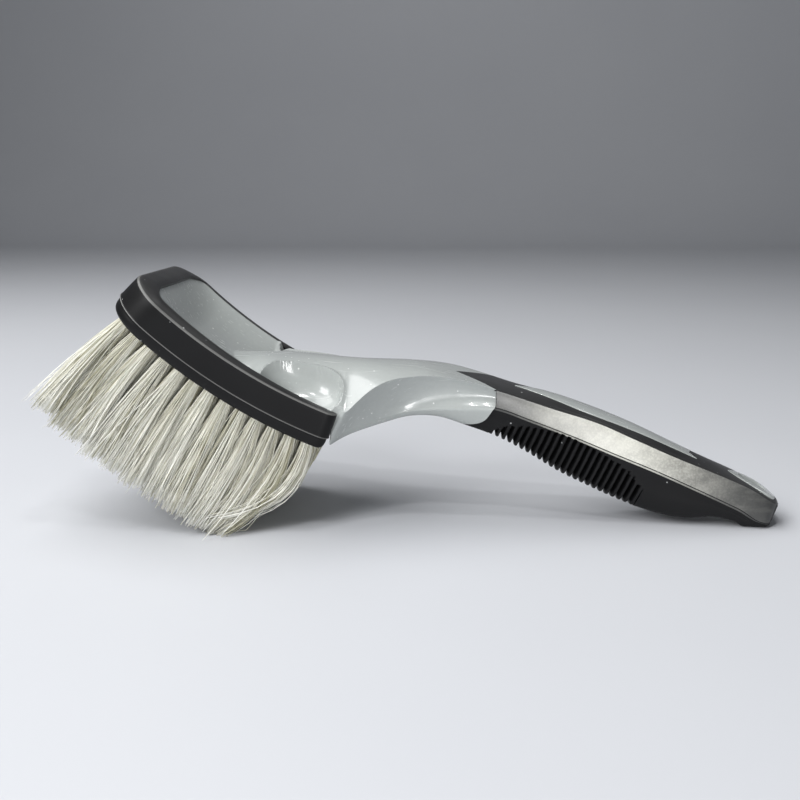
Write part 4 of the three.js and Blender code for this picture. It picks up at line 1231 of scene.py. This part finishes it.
@dataclass
class Bumper:
    """The black overmould round the head, as one profile carried along the head's rounded outline."""

    bow: Bow
    finish: SoftRubber = SoftRubber("bumper_rubber", tint(11, 11, 12), tint(25, 25, 26), 0.32)
    # painted light: a lighter, shinier copy of the bumper rubber on the top margin, where light falls from
    # above
    top: SoftRubber = SoftRubber("bumper_margin_painted_light", tint(34, 34, 35), tint(62, 62, 62), 0.34, shine=0.45)
    # painted highlight: a grey copy of the rubber on the ridge and the parting bead
    edge: SoftRubber = SoftRubber("bumper_edge_painted_highlight", tint(88, 88, 86), tint(118, 118, 116), 0.3, shine=0.5)
    painted_light_spans: int = 7  # of the profile, painted with the margin's lighter copy of the rubber: painted light
    painted_highlight_spans: tuple[int, ...] = (7, 8, 13, 14)  # of the ridge and the parting bead, which carry a painted highlight
    height: float = 14
    parting: float = 9.6
    wall: float = 2.8
    margin_depth: float = 3.2
    toe_radius: float = 15
    heel_radius: float = 4
    heel_short: float = 1.0
    steps: int = 3  # of the profile in each span

    def path(self) -> tuple[np.ndarray, np.ndarray, np.ndarray]:
        """The head's outline in plan, from one heel end round the toe to the other.

        Returns:
            Its points (u, v), its outward normals, and the margin's width at each point.
        """
        half, toe, heel = self.bow.width / 2, self.bow.toe, self.bow.heel - self.heel_short
        r, q = self.toe_radius, self.heel_radius
        turn = np.linspace(0, np.pi / 2, 22)
        heel_arc = np.stack([heel - q + q * np.cos(turn), half - q + q * np.sin(turn)], -1)
        heel_normal = np.stack([np.cos(turn), np.sin(turn)], -1)
        side_u = np.linspace(heel - q, -toe + r, 110)[1:-1]
        side = np.stack([side_u, np.full_like(side_u, half)], -1)
        side_normal = np.tile([0.0, 1.0], (len(side), 1))
        toe_arc = np.stack([-toe + r - r * np.sin(turn), half - r + r * np.cos(turn)], -1)
        toe_normal = np.stack([-np.sin(turn), np.cos(turn)], -1)
        end_v = np.linspace(half - r, 0, 30)[1:]
        end = np.stack([np.full_like(end_v, -toe), end_v], -1)
        end_normal = np.tile([-1.0, 0.0], (len(end), 1))
        points = np.vstack([heel_arc, side, toe_arc, end])
        normals = np.vstack([heel_normal, side_normal, toe_normal, end_normal])
        flip = np.array([1.0, -1.0])
        points = np.vstack([points, points[-2::-1] * flip])
        normals = np.vstack([normals, normals[-2::-1] * flip])
        margin = mix(self.bow.side_margin, self.bow.toe_margin, smooth(-normals[:, 0], 0.05, 1.0))
        return points, normals, margin

    def profile(self, margin: np.ndarray, rise: np.ndarray) -> tuple[np.ndarray, np.ndarray]:
        """The profile at each place: how far out of the outline, and how deep below the ridge.

        A B-spline on controls: crowned margin, thin ridge, wall with a hair-thin parting bead, lip,
        and the seat that holds the plate and the block. The ridge and the bead get a painted highlight in
        build.
        """
        m, rise = -margin[:, None], rise[:, None]
        part, wall, low, seat = self.parting, -self.wall, self.height, self.margin_depth
        controls = [
            (m, 1.4), (m, -rise + 0.35), (m + 0.12, -rise + 0.02), (m + 0.5, -rise),
            (m * 0.72, -rise * 0.98 - 0.05), (m * 0.45, -rise * 0.72 - 0.02), (-1.1, -rise * 0.3 + 0.02),
            (-0.75, -rise * 0.16 + 0.03), (-0.42, -rise * 0.1), (-0.12, 0.22), (-0.02, 0.9), (0.05, 3.5),
            (0.02, part - 1.2), (0, part - 0.45), (0.16, part - 0.2), (0.2, part), (-0.3, part + 0.12),
            (-0.55, part + 0.5), (-0.5, part + 1.5), (-0.62, low - 1.9), (-0.85, low - 0.9),
            (-1.35, low - 0.15), (-1.9, low), (-2.5, low - 0.1), (wall, low - 0.6), (wall, low - 1.6),
            (wall, seat + 1.2), (wall, seat + 0.1), (wall - 0.1, seat), (m * 0.5 - 1.4, seat),
            (m + 0.1, seat), (m, seat - 0.2),
        ]
        return rounded_outline(controls + controls[:2], self.steps)

    def build(self) -> bpy.types.Object:
        """Carries the profile along the outline in the bowed frame, and closes it at both heel ends."""
        points, normals, margin = self.path()
        out, t = self.profile(margin, self.bow.rise(points[:, 0]))
        out = np.maximum(out, -np.where(normals[:, :1] > 0.02, self.heel_radius - 0.15, 99))
        u = points[:, :1] + normals[:, :1] * out
        v = points[:, 1:] + normals[:, 1:] * out
        rings = self.bow.at(u, v, t)
        span = np.arange(out.shape[1]) // self.steps
        # paint 1 is the margin's lighter copy that paints light, paint 2 the painted highlight on the ridge
        # and the bead
        paint = np.where(span < self.painted_light_spans, 1, np.where(np.isin(span, self.painted_highlight_spans), 2, 0))
        piece = loft(rings, np.tile(paint, (len(out) - 1, 1))).object("head_bumper_rubber")
        shade(piece, 40)
        wear(piece, self.finish.material(), self.top.material(), self.edge.material())
        place(piece, "head_bumper")
        return piece


@dataclass
class TuftField:
    """Where the tufts stand: rows along the head, tufts across it."""

    rows: int = 13
    per_row: int = 7
    row_pitch: float = 6.08
    tuft_pitch: float = 8.1
    diameter: float = 4.6

    def row_at(self, bow: Bow, row: int) -> float:
        """The u of a row."""
        return (bow.heel - bow.toe) / 2 + (row - (self.rows - 1) / 2) * self.row_pitch

    def tuft_at(self, tuft: int) -> float:
        """The v of a tuft in its row."""
        return (tuft - (self.per_row - 1) / 2) * self.tuft_pitch


@dataclass
class BristleBlock:
    """The black bowed plate with a round hole for each tuft."""

    bow: Bow
    tufts: TuftField
    finish: SoftRubber = SoftRubber("block_plastic", tint(13, 13, 14), tint(22, 22, 22), 0.55, grain=1.6)
    top: float = 7.1
    bottom: float = 13.4
    set_depth: float = 4.9
    heel_gap: float = 3.2
    side_gap: float = 2.95  # to the head's outline
    hole_gap: float = 0.2  # round each tuft
    toe_radius: float = 12
    heel_radius: float = 1.5

    def slab(self) -> bpy.types.Object:
        """A bowed slab whose sections are rounded rectangles, narrower in the rounded toe."""
        bow = self.bow
        start, end, radius = -bow.toe + self.side_gap, bow.heel - self.heel_gap, self.heel_radius
        toe = self.toe_radius * (1 - np.cos(np.linspace(0, np.pi / 2, 14)))
        heel = radius * np.sin(np.linspace(0, np.pi / 2, 6))
        straight = np.linspace(start + self.toe_radius, end - radius, 90)[1:-1]
        u = np.concatenate([start + 0.01 + toe, straight, end - radius + heel])[:, None]
        half = bow.half_width(u, bow.width / 2 - self.side_gap, start, self.toe_radius)
        half = np.maximum(half - quarter_round(end - u, radius), 0.5)
        top, low = self.top, self.bottom
        v, t = rounded_outline(
            [
                (-half * 0.3, top), (half * 0.3, top), (half - 0.4, top), (half, top), (half, top + 0.5),
                (half, low - 0.9), (half, low), (half - 0.8, low), (half * 0.3, low), (-half * 0.3, low),
            ],
            4,
        )
        v = np.hstack([v, np.zeros_like(u)])
        t = np.hstack([t, t[:, -1:]])
        v[:, 0] = 0
        v, t = mirrored(v, t)
        return loft(bow.at(u, v, t)).object("bristle_block_plate")

    def holes(self) -> bpy.types.Object:
        """One skin of all the holes: round pegs along the depth direction, with a flared mouth."""
        turn = np.linspace(0, 2 * np.pi, 20, endpoint=False)
        radius = self.tufts.diameter / 2 + self.hole_gap
        depths = self.bottom + np.array([[-self.set_depth], [-0.55], [-0.1], [1.5]])
        radii = radius + np.array([[0], [0], [0.35], [0.45]])
        du, dv = radii * np.cos(turn), radii * np.sin(turn)
        pegs = [
            loft(self.bow.at(self.tufts.row_at(self.bow, row) + du, self.tufts.tuft_at(tuft) + dv, depths))
            for row in range(self.tufts.rows)
            for tuft in range(self.tufts.per_row)
        ]
        return Skin.joined(pegs).object("tuft_holes")

    def build(self) -> bpy.types.Object:
        """Drills the slab."""
        piece = combine(self.slab(), self.holes(), Cut.TAKE_AWAY)
        shade(piece)
        place(piece, "bristle_block", self.finish.material())
        return piece


@dataclass
class Strands:
    """Filament centre lines as points, with a radius and two paint values at each point."""

    lines: np.ndarray  # (strands, points, 3)
    radii: np.ndarray  # (strands, points)
    tone: np.ndarray  # (strands, points)
    reach: np.ndarray  # (strands, points)

    sides: int = 3
    twist: float = 2.399  # turn from one strand's rings to the next one's

    def skin(self) -> Skin:
        """Thin closed tubes round the lines: rings square to each line, with a flat face on both ends."""
        along = np.gradient(self.lines, axis=1)
        along /= np.maximum(np.linalg.norm(along, axis=2, keepdims=True), 1e-9)
        across = np.cross(along, np.array([0.0, 1.0, 0.0]))
        across /= np.maximum(np.linalg.norm(across, axis=2, keepdims=True), 1e-9)
        other = np.cross(along, across)
        (count, steps), sides = self.lines.shape[:2], self.sides
        start = np.arange(count)[:, None, None] * self.twist
        turn = start + 2 * np.pi * np.arange(sides)[None, None, :] / sides
        ring = across[:, :, None] * np.cos(turn)[..., None] + other[:, :, None] * np.sin(turn)[..., None]
        points = self.lines[:, :, None] + ring * self.radii[:, :, None, None]
        base = (np.arange(count) * steps * sides)[:, None, None]
        faces = (grid_faces(steps, sides)[None] + base).reshape(-1, 4)
        first = np.arange(sides)[::-1][None] + base[:, 0]
        last = (steps - 1) * sides + np.arange(sides)[None] + base[:, 0]
        return Skin(points.reshape(-1, 3), [faces, np.vstack([first, last])])

    def paint(self, values: np.ndarray) -> np.ndarray:
        """The values of the lines' points, repeated for each point of the skin."""
        return np.repeat(values.ravel(), self.sides).astype(np.float32)


@dataclass
class Bristles:
    """Thirteen rows of filament tufts that lean towards the toe and merge towards their frayed tips."""

    bow: Bow
    tufts: TuftField
    finish: Filament = Filament()
    block_bottom: float = 13.4
    length: float = 49
    toe_length: float = 0.93  # of it, at the toe
    lean_toe: float = math.radians(6)  # towards the toe where a strand starts, at the toe
    lean_heel: float = math.radians(-8)
    curl_toe: float = math.radians(-6)  # the same lean at its tip
    curl_heel: float = math.radians(117)
    curl_power: float = 6.9
    flare: float = 3.5
    trim_fall: float = 0.6  # z over x of the trimmed face, which the tips keep to
    pinch: float = 0.78  # the tuft's root over the hole
    set_depth: float = 4.2  # of a strand's root in the block
    strands: int = 150
    strand_radius: float = 0.175
    steps: int = 7
    clumps: int = 7
    fringe: int = 45  # split ends on each tuft
    fringe_from: float = 0.72  # of the length
    fringe_steps: int = 3
    strays: float = 1.3  # on each tuft
    stray_reach: tuple[float, float] = (4.0, 3.0)  # along and across the brush
    widen_u: tuple[float, float] = (1.8, 0.65)  # times the offset, and the power of the share
    widen_v: tuple[float, float] = (1.5, 0.85)
    wave: float = 0.4
    bench: float = 0.14  # lowest height of a strand's middle line

    def centre_lines(
        self, u: np.ndarray, length: np.ndarray, start: float, steps: int
    ) -> tuple[np.ndarray, np.ndarray]:
        """The plane of each strand: x and z along it, from the block.

        The heading leans from the depth direction at u towards the toe. The lean changes over the length by
        a level step from its first to its last value, which grows steeply towards the heel, where the bench
        bends the strands. The places are the running sum of the headings.

        Args:
            u: where each strand starts, along the ridge.
            length: each strand's length beyond the block.
            start: the share of the length at which the returned points start.
            steps: how many pieces they have.

        Returns:
            x and z, shaped (strands, steps + 1, 2), and the share of the length at each point.
        """
        fine = 48
        share = self.bow.share(u)[:, None]
        middle = (np.arange(fine) + 0.5)[None] / fine
        last = self.curl_toe + self.curl_heel * share**self.curl_power
        lean = mix(mix(self.lean_toe, self.lean_heel, share), last, smooth(middle, 0, 1))
        angle = (u / self.bow.radius - self.bow.slope)[:, None] - lean
        step = (length / fine)[:, None]
        origin = self.bow.at(u, 0 * u, np.full_like(u, self.block_bottom))[:, None, [0, 2]]
        moves = np.stack([np.sin(angle) * step, -np.cos(angle) * step], -1)
        places = origin + np.concatenate([np.zeros_like(moves[:, :1]), np.cumsum(moves, 1)], 1)
        pick = np.round(np.linspace(start, 1, steps + 1) * fine).astype(int)
        return places[:, pick], pick / fine

    def tuft(self, rng: np.random.Generator, u_mid: float, v_mid: float, split: bool) -> Strands:
        """One tuft's strands, or its split ends.

        A strand starts at a random place in the hole's circle. Its offset from the tuft's middle widens with
        the distance, its clump pulls it to one side, and a slow wave bends it. The lowest strands are bent
        level over the bench by a hyperbola.

        Args:
            rng: the random numbers.
            u_mid: the tuft's place along the head.
            v_mid: its place across it.
            split: whether the short split ends are made instead of the strands.

        Returns:
            The strands.
        """
        count, start, steps = self.strands, 0.0, self.steps
        if split:
            count, start, steps = self.fringe, self.fringe_from, self.fringe_steps
        spread, turn = np.sqrt(rng.random(count)), rng.random(count) * 2 * np.pi
        radius = self.pinch * (self.tufts.diameter / 2 - 0.12)
        du, dv = radius * spread * np.cos(turn), radius * spread * np.sin(turn)
        clump = np.floor((turn / (2 * np.pi) + 0.35 * spread) * self.clumps).astype(int) % self.clumps
        pull = rng.normal(0, 1, (self.clumps, 3))[clump]
        own = rng.normal(0, 1, (count, 5))
        length = self.length * (1 + 0.006 * own[:, 0] + 0.018 * pull[:, 2]) - np.abs(own[:, 4]) * 0.4
        length = length * mix(self.toe_length, 1.0, self.bow.share(u_mid + du))
        flat, share = self.centre_lines(u_mid + du, length, start, steps)
        s = share[None, :]
        widen_u, widen_v = (size * s**power for size, power in (self.widen_u, self.widen_v))
        wave = np.sin(2 * np.pi * (0.9 * s + own[:, 1:2])) * self.wave * s
        wild = np.where(own[:, 2:3] * own[:, 3:4] > 0.9, 1.9, 1.0)
        lean = (pull[:, :1] + 1.1 * wild * own[:, 2:3]) * s**1.2
        tilt = (pull[:, 1:2] + wild * own[:, 3:4]) * s**1.2
        chosen = np.where(rng.random(count) < self.strays / count, 1.0, 0.0)[:, None]
        stray = chosen * rng.normal(0, 1, (count, 2))
        along, across = self.stray_reach
        x = flat[..., 0] + du[:, None] * widen_u + lean + wave + along * stray[:, :1] * s**2
        z = flat[..., 1] - self.trim_fall * (lean + wave + across * stray[:, :1] * s**2)
        y = v_mid + dv[:, None] * (1 + widen_v) + tilt + 0.6 * wave
        y = y + self.flare * (v_mid / 26) * s**1.5 + across * stray[:, 1:] * s**2
        if split:
            fray = smooth(s, start, 1.15) * 0.55
            x = x + fray * own[:, 1:2]
            y = y + fray * own[:, 4:5]
            z = z + fray * 0.7 * own[:, 0:1]
        over = z - 0.15
        z = 0.5 * (over + np.sqrt(over**2 + 0.3)) + self.bench
        if not split:
            x[:, 0] = flat[:, 0, 0]
            root = self.bow.at(u_mid + du, v_mid + dv, np.full(count, self.block_bottom - self.set_depth))
            x, y, z = (np.hstack([root[:, i : i + 1], rest]) for i, rest in enumerate((x, y, z)))
            s = np.concatenate([[[0.0]], s], 1)
        taper = 1 - 0.15 * smooth(s, 0.6, 1.05)
        thin = 0.6 if split else 1.0
        radii = np.broadcast_to(self.strand_radius * thin * taper, x.shape)
        tone = np.broadcast_to(np.clip(0.42 + 0.3 * own[:, :1] + 0.16 * pull[:, :1], 0, 1), x.shape)
        reach = np.broadcast_to(s, x.shape)
        return Strands(np.stack([x, y, z], -1), radii, tone, reach)

    def row(self, number: int) -> bpy.types.Object:
        """One row of tufts as one mesh, with its paint values.

        Args:
            number: the row, from 0 at the toe.

        Returns:
            The finished object.
        """
        rng = np.random.default_rng(SEED + number)
        u = self.tufts.row_at(self.bow, number)
        parts = [
            self.tuft(rng, u, self.tufts.tuft_at(tuft), split)
            for tuft in range(self.tufts.per_row)
            for split in (False, True)
        ]
        piece = Skin.joined([part.skin() for part in parts]).object(f"tuft_row_{number + 1:02d}_filaments")
        for name in ("tone", "reach"):
            values = np.concatenate([part.paint(getattr(part, name)) for part in parts])
            piece.data.attributes.new(name, "FLOAT", "POINT").data.foreach_set("value", values)
        piece.data.shade_smooth()
        return piece

    def build(self) -> list[bpy.types.Object]:
        """All the rows."""
        material = self.finish.material()
        pieces = [self.row(number) for number in range(self.tufts.rows)]
        for number, piece in enumerate(pieces, 1):
            place(piece, f"tuft_row_{number:02d}", material)
        return pieces


# ---- studio ----


@dataclass(frozen=True)
class Lamp:
    """A soft rectangular lamp that looks at a point."""

    name: str
    at: tuple[float, float, float]
    towards: tuple[float, float, float]
    size: tuple[float, float]
    power: float

    def build(self) -> None:
        """Makes the lamp."""
        data = bpy.data.lights.new(self.name, "AREA")
        data.shape = "RECTANGLE"
        data.size, data.size_y = self.size
        data.energy = self.power
        lamp = bpy.data.objects.new(self.name, data)
        lamp.location = self.at
        lamp.rotation_euler = (Vector(self.towards) - Vector(self.at)).to_track_quat("-Z", "Y").to_euler()
        bpy.context.scene.collection.objects.link(lamp)


@dataclass
class Studio:
    """A pale sweep, soft lamps and the camera."""

    floor: PaleFloor = PaleFloor()
    lens: float = 44.1
    camera_at: tuple[float, float, float] = (0.0237, -0.3658, 0.1261)
    heading: tuple[float, float] = (-0.075, 0.9972)
    pitch: float = 12.54
    roll: float = 0.16
    lamps: tuple[Lamp, ...] = (
        Lamp("overhead", (-0.5, 0.05, 1.0), (-0.02, 0.0, 0.0), (1.1, 0.9), 11.0),
        Lamp("front_strip", (0.19, -0.95, 0.14), (0.07, 0.0, 0.03), (0.22, 0.26), 3.0),
        Lamp("left_fill", (-0.9, -1.0, 0.95), (-0.08, 0.0, 0.04), (0.7, 0.7), 15.0),
        Lamp("glint_a", (-0.06, -0.42, 0.8), (-0.03, 0.0, 0.05), (0.08, 0.04), 0.9),
        Lamp("glint_b", (0.1, -0.2, 0.85), (-0.03, 0.0, 0.05), (0.1, 0.04), 0.9),
    )

    def sweep(self) -> bpy.types.Object:
        """The floor that curves up into a wall far behind: a profile of floor, arc and wall, drawn across."""
        radius, back, half, wall_top = 0.6, 1.6, 3.0, 3.0
        turn = np.linspace(0, np.pi / 2, 24)[1:]
        level = np.linspace(-2.5, back, 12)
        y = np.concatenate([[-half], level, back + radius * np.sin(turn), [back + radius]])
        z = np.concatenate([np.zeros(13), radius * (1 - np.cos(turn)), [wall_top]])
        x = np.linspace(-half, half, 9)
        points = np.stack(np.broadcast_arrays(x[:, None], y[None], z[None]), -1).reshape(-1, 3)
        skin = Skin(points / MM - np.array([DATUM, 0, 0]), [grid_faces(len(x), len(y), False)])
        floor = skin.object("pale_sweep")
        if floor.data.polygons[0].normal.z < 0:
            floor.data.flip_normals()
        floor.data.shade_smooth()
        wear(floor, self.floor.material())
        return floor

    def camera(self) -> bpy.types.Object:
        """The camera: level heading, then pitched down and rolled a little."""
        data = bpy.data.cameras.new("camera")
        data.lens = self.lens
        data.sensor_width = 36
        data.clip_start = 0.01
        camera = bpy.data.objects.new("camera", data)
        camera.location = self.camera_at
        turn = math.atan2(-self.heading[0], self.heading[1])
        camera.rotation_euler = Euler((math.radians(90 - self.pitch), math.radians(self.roll), turn), "XYZ")
        bpy.context.scene.collection.objects.link(camera)
        bpy.context.scene.camera = camera
        return camera

    def build(self) -> None:
        """Makes the sweep, the lamps, the dim surroundings and the camera."""
        self.sweep()
        for lamp in self.lamps:
            lamp.build()
        world = bpy.data.worlds.new("surroundings")
        world.use_nodes = True
        background = world.node_tree.nodes["Background"]
        background.inputs["Color"].default_value = (0.80, 0.84, 0.9, 1)
        background.inputs["Strength"].default_value = 0.1
        bpy.context.scene.world = world
        self.camera()


def main() -> None:
    """Builds every sub-assembly of the brush and the studio round it."""
    logging.basicConfig(level=logging.INFO, format="%(message)s")
    bpy.context.scene.view_settings.view_transform = "Standard"
    Studio().build()
    bow = Bow()
    form = HandleForm(bow=bow)
    joints = Joints(form)
    HandleCore(form, joints).build()
    Grip(form, joints).build()
    Bumper(bow).build()
    tufts = TuftField()
    BristleBlock(bow, tufts).build()
    Bristles(bow, tufts).build()


if __name__ == "__main__":
    main()
